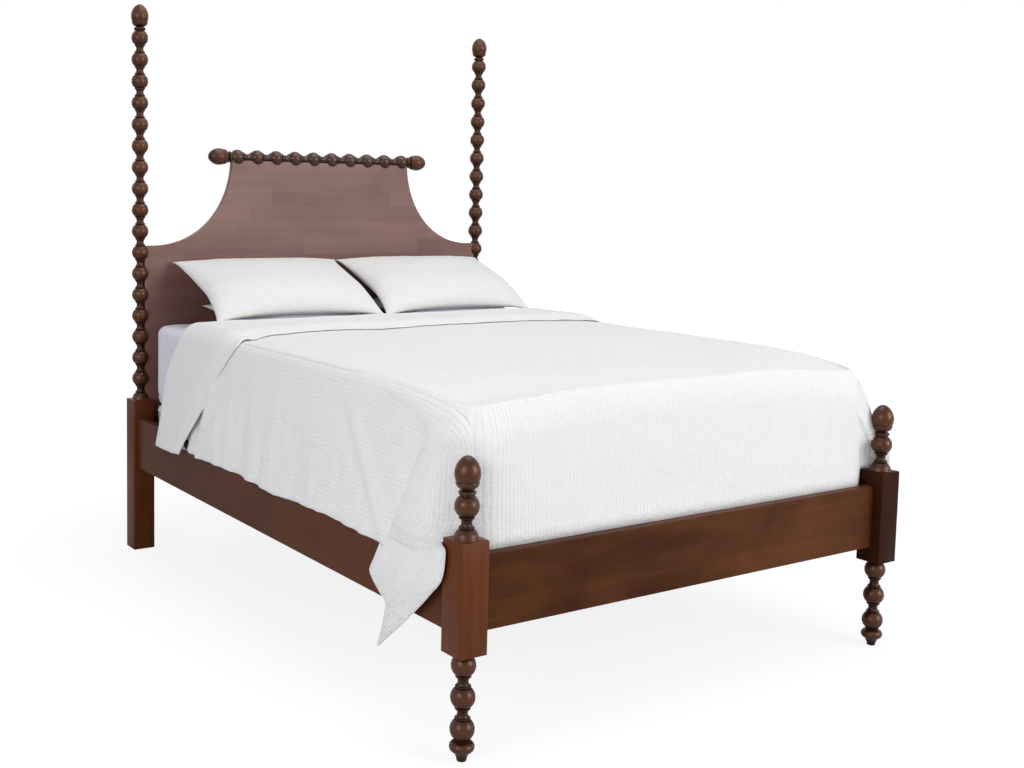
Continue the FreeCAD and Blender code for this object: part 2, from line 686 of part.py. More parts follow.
def side_drape():
    """Side of the duvet that falls over the rail, its hem and face in shallow waves."""
    def outline(y, k):
        wave = HEM_WAVE * (1 if k % 2 else -1)
        hem = HEM_Z + wave
        out = DRAPE_IN_X + HEM_T
        bulge = DRAPE_IN_X + DRAPE_BULGE + wave / 2
        top_in = DUVET_IN_X + 3.0
        top_out = DUVET_OUT_X - 3.0
        return [(top_in, DRAPE_TOP_Z), (top_in, RAIL_CLEAR_Z + 16.0), (DRAPE_IN_X, RAIL_CLEAR_Z), (DRAPE_IN_X, hem),
                (out, hem), (bulge, RAIL_CLEAR_Z + 12.0), (top_out, DRAPE_TOP_Z)]
    foot = -POST_IN_Y + BED_CORNER + DUVET_SIDE_T
    head = DUVET_HEAD_Y + DUVET_RAKE
    count = 8
    return drape(outline, [foot + (head - foot) * k / (count - 1) for k in range(count)])


def raked(y0, y1, z_top, z_hem):
    """Upright band of space whose two ends lean towards the head as they go down."""
    bend = DUVET_OUT_Z - DUVET_EDGE / 2
    profile = [(y0, z_top), (y0, bend), (y0 + DUVET_RAKE, z_hem), (y1 + DUVET_RAKE, z_hem), (y1, bend), (y1, z_top)]
    points = [Vector(-HALF_W - 100.0, y, z) for y, z in profile]
    face = Part.Face(Part.makePolygon(points + points[:1]))
    return face.extrude(Vector(2 * HALF_W + 200.0, 0, 0))


def fold_back():
    """Band that is turned back over the duvet, from its folded head edge."""
    out_x = DUVET_OUT_X + FOLD_T
    out_z = DUVET_OUT_Z + FOLD_T
    low_x = DRAPE_IN_X + DRAPE_BULGE + FOLD_T / 2
    mid_z = RAIL_CLEAR_Z + 12.0
    rim = DUVET_EDGE + FOLD_T
    turn = rim * (1 - math.sqrt(0.5))
    right = [Vector(low_x - 8.0, 0, FOLD_HEM_Z), Vector(low_x, 0, mid_z), Vector(out_x, 0, DRAPE_TOP_Z + 40.0),
             Vector(out_x, 0, out_z - rim), Vector(out_x - turn, 0, out_z - turn), Vector(out_x - rim, 0, out_z)]
    inner = [Vector(DRAPE_IN_X, 0, FOLD_HEM_Z), Vector(DRAPE_IN_X, 0, RAIL_CLEAR_Z),
             Vector(DUVET_IN_X, 0, RAIL_CLEAR_Z + 16.0)]
    left = [Vector(-p.x, p.y, p.z) for p in right]
    left_in = [Vector(-p.x, p.y, p.z) for p in inner]
    edges = [line(right[0], right[1]), line(right[1], right[2]), line(right[2], right[3]),
             Part.Arc(right[3], right[4], right[5]).toShape(), line(right[5], left[5]),
             Part.Arc(left[5], left[4], left[3]).toShape(), line(left[3], left[2]), line(left[2], left[1]),
             line(left[1], left[0]), line(left[0], left_in[0])]
    back = left_in + list(reversed(inner)) + [right[0]]
    for a, b in zip(back, back[1:]):
        edges.append(line(a, b))
    face = Part.Face(Part.Wire(edges))
    run = face.extrude(Vector(0, HALF_L, 0))
    return run.common(raked(DUVET_HEAD_Y - FOLD_WIDTH, DUVET_HEAD_Y, out_z + 1.0, FOLD_HEM_Z - 1.0))


def corner_flap():
    """Right-hand foot corner of the duvet, hanging outside the side rail beside the post."""
    beside_post = HALF_W + FLAP_CLEAR
    inner_faces = [DUVET_OUT_X - 14.0, beside_post - 2.0] + [beside_post] * (len(FLAP) - 2)
    outlines = []
    for inner, (z, foot, head, swell) in zip(inner_faces, FLAP):
        foot = foot - POST_IN_Y
        head = head - POST_IN_Y
        a = Vector(inner, foot, z)
        b = Vector(inner, head, z)
        mid_in = Vector(inner + 1.0, (foot + head) / 2, z)
        c = Vector(inner + swell / 2, head, z)
        d = Vector(inner + swell / 2, foot, z)
        mid_out = Vector(inner + swell / 2 + swell, (foot + head) / 2, z)
        edges = [Part.Arc(a, mid_in, b).toShape(), line(b, c), Part.Arc(c, mid_out, d).toShape(), line(d, a)]
        outlines.append(Part.Wire(edges))
    return Part.makeLoft(outlines, True, True)


def duvet():
    right_drape = side_drape()
    right_flap = corner_flap()
    cloth = duvet_cover().fuse([right_drape, mirrored(right_drape), right_flap, mirrored(right_flap)])
    beyond = DUVET_HEAD_Y + HALF_L
    cloth = cloth.cut(raked(DUVET_HEAD_Y, beyond, DUVET_OUT_Z + FOLD_T + 2.0, FOLD_HEM_Z - 2.0))
    return cloth.fuse(fold_back()).cut(bed_room()).removeSplitter()


save("duvet", duvet())


# ---------------------------------------------------------------- pillows
def pillow(length, width, rise, sink):
    """Stuffed pillow about its seam plane, foot edge on X: pointed corners, drawn-in sides and a crown."""
    sections = []
    for place, fullness, chord in PILLOW_SECTIONS:
        x = place * length
        half = width * chord / 2
        up = PILLOW_EDGE + (rise - PILLOW_EDGE) * fullness
        down = PILLOW_EDGE + (sink - PILLOW_EDGE) * fullness
        middle = width / 2
        foot = Vector(x, middle - half, 0)
        head = Vector(x, middle + half, 0)
        sections.append(Part.Wire([Part.Arc(foot, Vector(x, middle, up), head).toShape(),
                                   Part.Arc(head, Vector(x, middle, -down), foot).toShape()]))
    return Part.makeLoft(sections, True, False)


def leaning(shape, width, tilt, head_room, seam_z, x):
    """Turn a pillow head edge up and stand it that far from the panel."""
    shape.rotate(Vector(0, 0, 0), Vector(1, 0, 0), tilt)
    foot_y = PANEL_FACE_Y - head_room - width * math.cos(math.radians(tilt))
    return shape.translated(Vector(x, foot_y, seam_z))


def sham(x):
    """Textured pillow that leans back on the plain one."""
    shape = pillow(SHAM_L, SHAM_W, SHAM_RISE, SHAM_SINK)
    return leaning(shape, SHAM_W, SHAM_TILT, SHAM_HEAD_ROOM, SHEET_TOP + SHAM_SEAM_UP, x)


def sleeper(x):
    """Plain pillow under the sham."""
    shape = pillow(SLEEPER_L, SLEEPER_W, SLEEPER_RISE, SLEEPER_SINK)
    return leaning(shape, SLEEPER_W, SLEEPER_TILT, SLEEPER_HEAD_ROOM, SHEET_TOP + PILLOW_EDGE + PILLOW_SEAT, x)


for side_name, side in SIDES:
    x = side * PILLOW_MIDDLE_X + PILLOW_SHIFT
    save("sleeping_pillow_" + side_name, sleeper(x))
    save("sham_" + side_name, sham(x))
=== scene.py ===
# %% [markdown]
# A spindle bed, made up for the night. The wooden frame comes from the construction model and stays
# where it is. This script gives each part its finish, cuts the turnings anew with every fillet that
# a lathe leaves, and sews, stuffs and lays the bedding.

# %% The frame
import math

import bmesh
import bpy
import numpy as np
from mathutils import Matrix, Vector, noise
from mathutils.bvhtree import BVHTree


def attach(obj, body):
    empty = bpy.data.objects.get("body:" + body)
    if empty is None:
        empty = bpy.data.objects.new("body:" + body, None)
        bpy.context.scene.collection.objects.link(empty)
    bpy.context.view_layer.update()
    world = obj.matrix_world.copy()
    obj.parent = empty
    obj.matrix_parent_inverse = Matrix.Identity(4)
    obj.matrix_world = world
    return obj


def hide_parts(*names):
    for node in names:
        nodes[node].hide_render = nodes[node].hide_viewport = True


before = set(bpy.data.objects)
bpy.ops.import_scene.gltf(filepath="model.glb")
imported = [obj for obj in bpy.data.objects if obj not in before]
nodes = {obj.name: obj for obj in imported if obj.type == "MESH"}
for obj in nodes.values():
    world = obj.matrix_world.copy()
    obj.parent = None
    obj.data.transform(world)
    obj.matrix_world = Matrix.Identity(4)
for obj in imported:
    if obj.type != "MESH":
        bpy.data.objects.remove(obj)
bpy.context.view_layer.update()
MM = 0.001

# %% [markdown]
# The photograph was taken from the left of the foot end, a little above the mattress. The lens is
# a short telephoto, and its shift keeps the tall posts upright on the picture, as on a view camera.

# %% Camera
CAMERA_AT = Vector((-2.51404, -3.42764, 1.37188))
YAW, PITCH, ROLL = 0.5711, 0.0915, 0.0169

ahead = Vector((math.sin(YAW) * math.cos(PITCH), math.cos(YAW) * math.cos(PITCH), -math.sin(PITCH)))
level_right = Vector((math.cos(YAW), -math.sin(YAW), 0.0))
level_up = level_right.cross(ahead)
camera_right = level_right * math.cos(ROLL) + level_up * math.sin(ROLL)
camera_up = level_up * math.cos(ROLL) - level_right * math.sin(ROLL)

camera = bpy.data.objects.new("camera", bpy.data.cameras.new("camera"))
bpy.context.scene.collection.objects.link(camera)
camera.matrix_world = Matrix.Translation(CAMERA_AT) @ Matrix((camera_right, camera_up, -ahead)).transposed().to_4x4()
camera.data.sensor_width = 36.0
camera.data.lens = 43.78
camera.data.shift_x = 0.1132
camera.data.shift_y = -0.0738
bpy.context.scene.camera = camera
print("camera at", [round(v, 2) for v in camera.location])

# %% [markdown]
# Shader arithmetic reads best as arithmetic. A Wire is one socket of a material; adding or
# multiplying Wires adds the Math nodes. A Finish is a material with one Principled shader, whose
# plain values are set on the shader itself.

# %% Shader arithmetic
class Wire:
    """One socket of a finish, used in sums and products."""

    def __init__(self, finish, socket):
        self.finish = finish
        self.socket = socket

    def _with(self, operation, first, second):
        node = self.finish.node("ShaderNodeMath", {"operation": operation}, {0: first, 1: second})
        return Wire(self.finish, node.outputs[0])

    def __add__(self, other):
        return self._with("ADD", self, other)

    def __radd__(self, other):
        return self._with("ADD", other, self)

    def __sub__(self, other):
        return self._with("SUBTRACT", self, other)

    def __rsub__(self, other):
        return self._with("SUBTRACT", other, self)

    def __mul__(self, other):
        return self._with("MULTIPLY", self, other)

    def __rmul__(self, other):
        return self._with("MULTIPLY", other, self)

    def __truediv__(self, other):
        return self._with("DIVIDE", self, other)

    def __pow__(self, other):
        return self._with("POWER", self, other)

    def floor(self):
        return self._with("FLOOR", self, 0.0)

    def sine(self):
        return self._with("SINE", self, 0.0)

    def fraction(self):
        return self._with("FRACT", self, 0.0)

    def at_most(self, other):
        return self._with("MINIMUM", self, other)

    def at_least(self, other):
        return self._with("MAXIMUM", self, other)


class Finish:
    """A material with one Principled shader."""

    def __init__(self, name, **plain):
        self.material = bpy.data.materials.new(name)
        self.material.use_nodes = True
        self.tree = self.material.node_tree
        self.shader = next(n for n in self.tree.nodes if n.type == "BSDF_PRINCIPLED")
        for socket, value in plain.items():
            self.shader.inputs[socket.replace("_", " ")].default_value = value

    def node(self, kind, settings=None, sockets=None):
        """Add a node: its settings first, then the values or links of its sockets."""
        made = self.tree.nodes.new(kind)
        for name, value in (settings or {}).items():
            if name == "stops":
                ramp = made.color_ramp
                while len(ramp.elements) < len(value):
                    ramp.elements.new(0.5)
                for element, (place, colour) in zip(ramp.elements, value):
                    element.position = place
                    element.color = (*colour, 1.0)
            else:
                setattr(made, name, value)
        for name, value in (sockets or {}).items():
            if isinstance(value, Wire):
                self.tree.links.new(value.socket, made.inputs[name])
            else:
                made.inputs[name].default_value = value
        return made

    def wire(self, made, output=0):
        return Wire(self, made.outputs[output])

    def place(self, scale=(1, 1, 1), turn=(0, 0, 0)):
        """The place on the piece, in metres times scale."""
        spot = self.node("ShaderNodeTexCoord")
        mapping = self.node("ShaderNodeMapping", {}, {"Vector": self.wire(spot, "Object"), "Scale": scale, "Rotation": turn})
        return self.wire(mapping)

    def own_map(self, name):
        return self.wire(self.node("ShaderNodeUVMap", {"uv_map": name}), "UV")

    def split(self, vector):
        parts = self.node("ShaderNodeSeparateXYZ", {}, {"Vector": vector})
        return [self.wire(parts, axis) for axis in "XYZ"]

    def join(self, x=0.0, y=0.0, z=0.0):
        return self.wire(self.node("ShaderNodeCombineXYZ", {}, {"X": x, "Y": y, "Z": z}))

    def clouds(self, vector, scale=1.0, detail=2.0, roughness=0.5, distortion=0.0):
        made = self.node("ShaderNodeTexNoise", {}, {"Vector": vector, "Scale": scale, "Detail": detail,
                                                    "Roughness": roughness, "Distortion": distortion})
        return self.wire(made, 0)

    def chance(self, vector):
        """A number from 0 to 1 that differs from cell to cell."""
        return self.wire(self.node("ShaderNodeTexWhiteNoise", {"noise_dimensions": "3D"}, {"Vector": vector}), 0)

    def ramp(self, value, stops):
        return self.wire(self.node("ShaderNodeValToRGB", {"stops": stops}, {"Fac": value}), "Color")

    def blend(self, share, first, second, how="MIX"):
        made = self.node("ShaderNodeMix", {"data_type": "RGBA", "blend_type": how}, {0: share, 6: first, 7: second})
        return self.wire(made, 2)

    def colour(self, wire):
        self.tree.links.new(wire.socket, self.shader.inputs["Base Color"])

    def roughness(self, wire):
        self.tree.links.new(wire.socket, self.shader.inputs["Roughness"])

    def relief(self, height, depth, strength=1.0):
        """Bump of that depth in metres."""
        bump = self.node("ShaderNodeBump", {}, {"Height": height, "Distance": depth, "Strength": strength})
        self.tree.links.new(bump.outputs[0], self.shader.inputs["Normal"])


# %% [markdown]
# The timber is stained and lacquered. Grain is noise drawn out along one axis; a second, coarser
# noise gives the slow bands of the stain. The headboard is glued up from staves, so a white noise
# per stave shifts its tone.

# %% Wood
LONG = {"X": (1.6, 34.0, 34.0), "Y": (34.0, 1.6, 34.0), "Z": (34.0, 34.0, 1.6)}


def stained_wood(name, along, dark, light, stave=None, roughness=0.30, gloss=0.2, blotch=0.5, tint=(1, 1, 1), glaze_and_shade=False):
    """Stained, lacquered wood whose grain runs along X, Y or Z; stave is (height, length).

    A turning can be made darker in its hollows, partly as glaze and partly as painted shade, and lighter on the widest
    part of each ball as a painted highlight: its map "turning" holds the radius as a share of the ball's.
    """
    finish = Finish(name, Specular_IOR_Level=gloss, Specular_Tint=(*tint, 1.0))
    spot = finish.place()
    grain = finish.clouds(finish.place(LONG[along]), 1.0, 6.0, 0.62, 0.3)
    pores = finish.clouds(finish.place(tuple(v * 5.0 for v in LONG[along])), 1.0, 3.0, 0.6)
    stain = finish.clouds(finish.place(tuple(0.07 * v + 3.0 for v in LONG[along])), 1.0, 3.0, 0.55, 0.5)
    tone = grain * 0.42 + stain * blotch + pores * 0.10 - (blotch - 0.5) * 0.5
    if stave:
        height, length = stave
        x, y, z = finish.split(spot)
        row = (z / height).floor()
        shift = finish.chance(finish.join(row, 3.7, 0.0))
        piece = (x / length + shift * 9.0).floor()
        own = finish.chance(finish.join(row, piece, 1.3))
        tone = tone + (own - 0.5) * 0.17
    colour = finish.ramp(tone, [(0.26, dark), (0.76, light)])
    if glaze_and_shade:
        # Painted shade in the hollows of the turning, besides some glaze, and a painted highlight where its balls are
        # widest.
        share, _, _ = finish.split(finish.own_map("turning"))
        glaze_shade_highlight = finish.ramp(share, [(0.42, (0.30,) * 3), (0.62, (0.42,) * 3), (0.86, (0.80,) * 3), (0.99, (1.30,) * 3)])
        colour = finish.blend(1.0, colour, glaze_shade_highlight, "MULTIPLY")
    finish.colour(colour)
    finish.roughness(roughness + (pores - 0.5) * 0.10)
    finish.relief(grain * 0.5 + pores * 0.5, 0.00025, 0.3)
    return finish.material


POST_WOOD = stained_wood("stained_block", "Z", (0.048, 0.0125, 0.0040), (0.165, 0.046, 0.013), gloss=0.1)
# A darker copy of the block stain, for the right foot post only: painted shade.
POST_SHADED_WOOD = stained_wood("stained_block_painted_shade", "Z", (0.014, 0.0040, 0.0018), (0.052, 0.0155, 0.0060), gloss=0.04)
TURNED_WOOD = stained_wood("stained_turning", "Z", (0.018, 0.0055, 0.0028), (0.070, 0.0225, 0.0095), roughness=0.33,
                           gloss=0.5, tint=(1.0, 0.62, 0.46), glaze_and_shade=True)
BOBBIN_WOOD = stained_wood("stained_bobbin_rail", "X", (0.014, 0.0052, 0.0034), (0.052, 0.0190, 0.0105), roughness=0.30,
                           gloss=0.6, tint=(1.0, 0.70, 0.60), glaze_and_shade=True)
# The panel's stain is drawn lighter and greyer than the other timber: partly its own tone, partly a painted reflection
# of the lamps in its lacquer.
PANEL_STAIN_AND_REFLECTION = stained_wood("stained_panel_painted_reflection", "X", (0.118, 0.051, 0.043), (0.215, 0.114, 0.096), stave=(0.066, 0.56),
                          roughness=0.40, gloss=0.32, blotch=0.4)
CROSS_WOOD = stained_wood("stained_cross_rail", "X", (0.038, 0.0110, 0.0034), (0.128, 0.042, 0.0125), gloss=0.06, blotch=0.75)
SIDE_WOOD = stained_wood("stained_side_rail", "Y", (0.048, 0.0150, 0.0075), (0.120, 0.038, 0.0165), gloss=0.06, blotch=0.6)

for node, finish in (("headboard_panel", PANEL_STAIN_AND_REFLECTION), ("headboard_rail", CROSS_WOOD), ("foot_rail", CROSS_WOOD),
                     ("side_rail_left", SIDE_WOOD), ("side_rail_right", SIDE_WOOD)):
    nodes[node].data.materials.clear()
    nodes[node].data.materials.append(finish)
print("wood on the rails and the panel")

# %% [markdown]
# Under the mattress the timber is bare softwood: pale, open-grained and matt. The hook plates are
# zinc plated, and the levelling glides are moulded.

# %% Hidden structure
def bare_wood(name, along):
    finish = Finish(name, Specular_IOR_Level=0.25)
    grain = finish.clouds(finish.place(LONG[along]), 1.0, 6.0, 0.6, 0.4)
    bands = (finish.clouds(finish.place(tuple(0.3 * v for v in LONG[along])), 1.0, 1.0, 0.5) * 40.0).sine()
    finish.colour(finish.ramp(grain * 0.8 + bands * 0.06 + 0.05, [(0.25, (0.42, 0.27, 0.14)), (0.75, (0.68, 0.50, 0.31))]))
    finish.roughness(0.62 + grain * 0.12)
    finish.relief(grain, 0.0005, 0.5)
    return finish.material


def dress(names, material):
    for name in names:
        nodes[name].data.materials.clear()
        nodes[name].data.materials.append(material)


BARE_ACROSS = bare_wood("bare_slat", "X")
BARE_LONG = bare_wood("bare_ledger", "Y")
BARE_UPRIGHT = bare_wood("bare_leg", "Z")
dress(["slat_%d" % k for k in range(1, 6)], BARE_ACROSS)
dress(["ledger_left", "ledger_right"], BARE_LONG)
dress(["support_leg_%d" % k for k in range(1, 4)], BARE_UPRIGHT)

zinc = Finish("zinc_plate", Metallic=1.0)
spangle = zinc.clouds(zinc.place(), 220.0, 2.0, 0.5)
zinc.colour(zinc.ramp(spangle, [(0.3, (0.40, 0.41, 0.42)), (0.7, (0.58, 0.58, 0.57))]))
zinc.roughness(0.32 + spangle * 0.15)
dress(["rail_hook_plates", "post_slot_plates"], zinc.material)

moulded = Finish("moulded_glide", Specular_IOR_Level=0.4)
speck = moulded.clouds(moulded.place(), 900.0, 1.0, 0.5)
moulded.colour(moulded.ramp(speck, [(0.3, (0.020, 0.020, 0.021)), (0.7, (0.032, 0.032, 0.033))]))
moulded.roughness(0.5 + speck * 0.1)
moulded.relief(speck, 0.0002, 0.3)
dress(["leveling_glide_%d" % k for k in range(1, 4)], moulded.material)
print("slats, ledgers, legs, plates and glides are dressed")

# %% [markdown]
# The turnings. On a lathe the wood spins and the cutter follows one outline, so in Blender one
# half-outline is drawn as a chain of edges and spun a full turn. Between two balls the turner left
# a small rounded collar on each side and a hollow cove in the middle.

# %% Outlines of the turnings
BALL_R = 31.0
COLLAR_R = 18.5
COVE_R = 13.4


def arc(centre, radius, start, end, steps):
    """Points of a circle in the outline's plane; angles in degrees from the outward direction."""
    r, z = centre
    angles = [math.radians(start + (end - start) * k / steps) for k in range(steps + 1)]
    return [(r + radius * math.cos(a), z + radius * math.sin(a)) for a in angles]


def ball(z, radius=BALL_R, seat=COLLAR_R, from_below=True):
    reach = math.degrees(math.acos(seat / radius))
    return arc((0, z), radius, -reach if from_below else 0.0, reach, 16 if from_below else 9)


def collar(z, height, radius):
    """Rounded band with a knife line above and below."""
    return [(radius - 2.6, z + 0.2), (radius - 2.4, z + 0.9), (radius + 0.3, z + 1.2), (radius + 1.2, z + 0.38 * height),
            (radius + 1.2, z + 0.68 * height), (radius + 0.3, z + height - 0.9), (radius - 1.6, z + height - 0.3)]


def cove(z0, z1, edge, thin):
    """Hollow between two collars."""
    steps = 10
    points = []
    for k in range(steps + 1):
        share = k / steps
        depth = (1 - (2 * share - 1) ** 2) ** 0.62
        points.append((edge - (edge - thin) * depth, z0 + (z1 - z0) * share))
    return points


def neck(z0, z1, thin=COVE_R, band=6.0):
    return collar(z0, band, COLLAR_R) + cove(z0 + band, z1 - band, COLLAR_R - 1.6, thin) + collar(z1 - band, band, COLLAR_R)


def bobbins(first, count, pitch, radius=BALL_R):
    points = []
    half = math.sqrt(radius ** 2 - COLLAR_R ** 2)
    for k in range(count):
        if k:
            points += neck(first + (k - 1) * pitch + half, first + k * pitch - half)
        points += ball(first + k * pitch, radius)
    return points


def ring(z, radius=22.0, height=12.0):
    """Bead that closes a string of balls, on a plain band."""
    return [(COLLAR_R - 0.8, z + 0.3), (COLLAR_R - 0.8, z + 1.7)] + \
        [(COLLAR_R - 1.0 + (radius - COLLAR_R + 1.0) * math.sin(math.pi * k / 10) ** 0.7, z + 2 + height * k / 10)
         for k in range(11)]


def acorn(z):
    """Cup and nut, from the neck up to the tip."""
    cup = [(12.0, z), (12.0, z + 1.2), (13.4, z + 2.2), (19.0, z + 4.0), (24.2, z + 7.4), (27.4, z + 12.0),
           (28.9, z + 16.2), (29.5, z + 17.4), (29.6, z + 19.4), (28.9, z + 20.4), (27.6, z + 20.9)]
    nut = [(27.4, z + 21.4), (28.5, z + 22.4), (30.3, z + 27.0), (31.8, z + 33.0), (32.4, z + 39.0), (32.2, z + 45.0),
           (31.1, z + 51.5), (28.9, z + 58.5), (25.6, z + 65.5), (21.2, z + 72.0), (16.0, z + 77.3), (10.6, z + 81.2),
           (5.2, z + 83.4), (0.0, z + 84.0)]
    return cup + nut


print("collar", len(collar(0, 6, 18)), "points, cove", len(cove(0, 1, 2, 1)), "points")

# %% Lathe and plane
def spun(mesh, outline, steps=56, finish=0):
    """Spin an outline in millimetres about Z and add it to the mesh, wearing that finish of the piece."""
    before = set(mesh.faces)
    turning = mesh.loops.layers.uv.get("turning") or mesh.loops.layers.uv.new("turning")
    rim = [mesh.verts.new((r * MM, 0.0, z * MM)) for r, z in outline]
    edges = [mesh.edges.new(pair) for pair in zip(rim, rim[1:])]
    bmesh.ops.spin(mesh, geom=rim + edges, cent=(0, 0, 0), axis=(0, 0, 1), dvec=(0, 0, 0),
                   angle=2 * math.pi, steps=steps, use_merge=True)
    for face in mesh.faces:
        if face not in before:
            face.material_index = finish
            for loop in face.loops:
                loop[turning].uv = (math.hypot(loop.vert.co.x, loop.vert.co.y) / MM / BALL_R, 0.0)


def squared(mesh, side, z0, z1, ease=4.0):
    """Square length of a post, its long edges rounded and its ends just broken."""
    made = bmesh.ops.create_cube(mesh, size=1.0)
    bmesh.ops.scale(mesh, vec=(side * MM, side * MM, (z1 - z0) * MM), verts=made["verts"])
    bmesh.ops.translate(mesh, vec=(0, 0, (z0 + z1) / 2 * MM), verts=made["verts"])
    edges = list({edge for vert in made["verts"] for edge in vert.link_edges})
    upright = [e for e in edges if abs(e.verts[0].co.z - e.verts[1].co.z) > 0.01]
    bevelled = bmesh.ops.bevel(mesh, geom=upright, offset=ease * MM, segments=4, affect="EDGES", profile=0.5, material=-1)
    around = {e for face in mesh.faces for e in face.edges}
    ends = [e for e in around if abs(e.verts[0].co.z - e.verts[1].co.z) < 1e-7
            and any(abs(f.normal.z) > 0.9 for f in e.link_faces) and any(abs(f.normal.z) < 0.1 for f in e.link_faces)
            and max(abs(e.verts[0].co.x), abs(e.verts[0].co.y)) > 0.0335]
    bmesh.ops.bevel(mesh, geom=ends, offset=1.4 * MM, segments=2, affect="EDGES", profile=0.5, material=-1)


def finished(name, mesh, materials, body="bedstead", smooth_below=38.0):
    """Weld, turn the faces outwards and make the object, with its place in its mesh."""
    bmesh.ops.remove_doubles(mesh, verts=mesh.verts, dist=1e-6)
    bmesh.ops.recalc_face_normals(mesh, faces=mesh.faces)
    for face in mesh.faces:
        face.smooth = True
    for edge in mesh.edges:
        edge.smooth = len(edge.link_faces) != 2 or edge.calc_face_angle(0.0) < math.radians(smooth_below)
    data = bpy.data.meshes.new(name)
    mesh.to_mesh(data)
    mesh.free()
    for material in materials if isinstance(materials, tuple) else (materials,):
        data.materials.append(material)
    piece = bpy.data.objects.new(name, data)
    bpy.context.scene.collection.objects.link(piece)
    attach(piece, body)
    print(name, len(data.polygons), "faces")
    return piece


# %% [markdown]
# Head posts: a square block stands on the floor and turns into a dome at the height of the rails,
# and a string of balls climbs from there to the finial. The foot posts have their block in the
# middle, a short string above it and a turned leg on a bun foot below.

# %% Posts
POST_X, POST_Y = 784.0, 1064.0
HALF_BALL = math.sqrt(BALL_R ** 2 - COLLAR_R ** 2)
HEAD_BLOCK_TOP, HEAD_BALLS, PITCH = 576.0, 17, 80.0
FOOT_BLOCK = (270.0, 552.0)


def climbing(block_top, count):
    """Dome on the block, then balls and the closing ring."""
    dome = [(0.0, block_top - 1.0), (33.0, block_top - 1.0), (33.0, block_top + 0.5), (31.4, block_top + 1.2)]
    dome += ball(block_top, from_below=False)[1:]
    first = block_top + PITCH
    outline = dome + neck(block_top + HALF_BALL, first - HALF_BALL) + bobbins(first, count, PITCH)
    last = first + (count - 1) * PITCH + HALF_BALL
    return outline + ring(last) + [(0.0, last + 14.0)], last + 14.0


def turned_leg():
    """Toe, bun and three balls below the block of a foot post."""
    toe = [(0.0, 0.0), (11.2, 0.0), (12.2, 1.2), (13.6, 9.0), (14.6, 11.0), (16.2, 15.5), (19.4, 20.0), (23.6, 23.4)]
    bun = [(25.2, 24.4), (29.2, 28.4), (31.2, 33.4), (31.5, 38.0), (30.2, 42.6), (27.2, 46.4), (22.8, 49.0), (18.6, 50.2)]
    first = 80.0
    balls = bobbins(first, 3, PITCH)
    last = first + 2 * PITCH + HALF_BALL
    return toe + bun + collar(50.4, first - HALF_BALL - 50.6, COLLAR_R) + balls + \
        [(COLLAR_R - 0.8, last + 0.4), (COLLAR_R + 1.2, last + 1.6), (COLLAR_R + 1.2, FOOT_BLOCK[0] + 0.5), (0.0, FOOT_BLOCK[0] + 1.0)]


for side_name, side in (("left", -1), ("right", 1)):
    outline, head_top = climbing(HEAD_BLOCK_TOP, HEAD_BALLS)
    mesh = bmesh.new()
    squared(mesh, 82.0, 0.0, HEAD_BLOCK_TOP)
    spun(mesh, outline, finish=1)
    bmesh.ops.translate(mesh, vec=(side * POST_X * MM, POST_Y * MM, 0), verts=mesh.verts)
    post = finished("turned_head_post_" + side_name, mesh, (POST_WOOD, TURNED_WOOD))
    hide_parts("head_post_" + side_name)

    outline, foot_top = climbing(FOOT_BLOCK[1], 1)
    mesh = bmesh.new()
    squared(mesh, 82.0, *FOOT_BLOCK)
    spun(mesh, outline, finish=1)
    spun(mesh, turned_leg(), finish=1)
    bmesh.ops.translate(mesh, vec=(side * POST_X * MM, -POST_Y * MM, 0), verts=mesh.verts)
    # The right foot post wears the darker copy of the block stain as painted shade.
    post = finished("turned_foot_post_" + side_name, mesh, (POST_SHADED_WOOD if side > 0 else POST_WOOD, TURNED_WOOD))
    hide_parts("foot_post_" + side_name)
print("head string ends at", round(head_top, 1), "and foot string at", round(foot_top, 1))

# %% Finials and bobbin rail
def acorns(name, places, node):
    """Acorns standing or lying at their places, each given by a matrix in metres."""
    mesh = bmesh.new()
    for place in places:
        before = set(mesh.verts)
        spun(mesh, [(0.0, 0.0)] + acorn(0.0), steps=60)
        bmesh.ops.transform(mesh, matrix=place, verts=[v for v in mesh.verts if v not in before])
    piece = finished(name, mesh, TURNED_WOOD)
    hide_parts(node)


def standing(x, y, z):
    return Matrix.Translation(Vector((x, y, z)) * MM)


RAIL_Z, RAIL_PITCH, RAIL_BALLS, RAIL_BALL_R = 1506.5, 85.0, 10, 29.5
rail_half = math.sqrt(RAIL_BALL_R ** 2 - COLLAR_R ** 2)
rail_last = (RAIL_BALLS - 1) * RAIL_PITCH / 2
rail_end = rail_last + rail_half + 2 * 2.0 + 12.0

acorns("head_acorns", [standing(s * POST_X, POST_Y, head_top) for s in (-1, 1)], "head_finials")
acorns("foot_acorns", [standing(s * POST_X, -POST_Y, foot_top) for s in (-1, 1)], "foot_finials")
acorns("bobbin_rail_acorns",
       [standing(s * rail_end, POST_Y, RAIL_Z) @ Matrix.Rotation(s * math.pi / 2, 4, "Y") for s in (-1, 1)],
       "top_rail_finials")

inner_end = rail_last + rail_half
closing = [(r, z) for r, z in ring(inner_end + 2.0)]
middle = bobbins(-rail_last, RAIL_BALLS, RAIL_PITCH, RAIL_BALL_R)
outline = [(0.0, -rail_end)] + [(r, -z) for r, z in reversed(closing)] + middle + closing + [(0.0, rail_end)]
mesh = bmesh.new()
spun(mesh, outline)
bmesh.ops.transform(mesh, matrix=standing(0, POST_Y, RAIL_Z) @ Matrix.Rotation(math.pi / 2, 4, "Y"), verts=mesh.verts)
rail = finished("turned_bobbin_rail", mesh, BOBBIN_WOOD)
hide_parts("top_bobbin_rail")

# %% [markdown]
# Bed linen. The duvet cover is woven so that it puckers into rows, each row a string of small
# blisters. The rows follow the cloth, not the room, so the material reads the piece's own map,
# where one unit is one metre of cloth: U runs along the rows and V counts them.

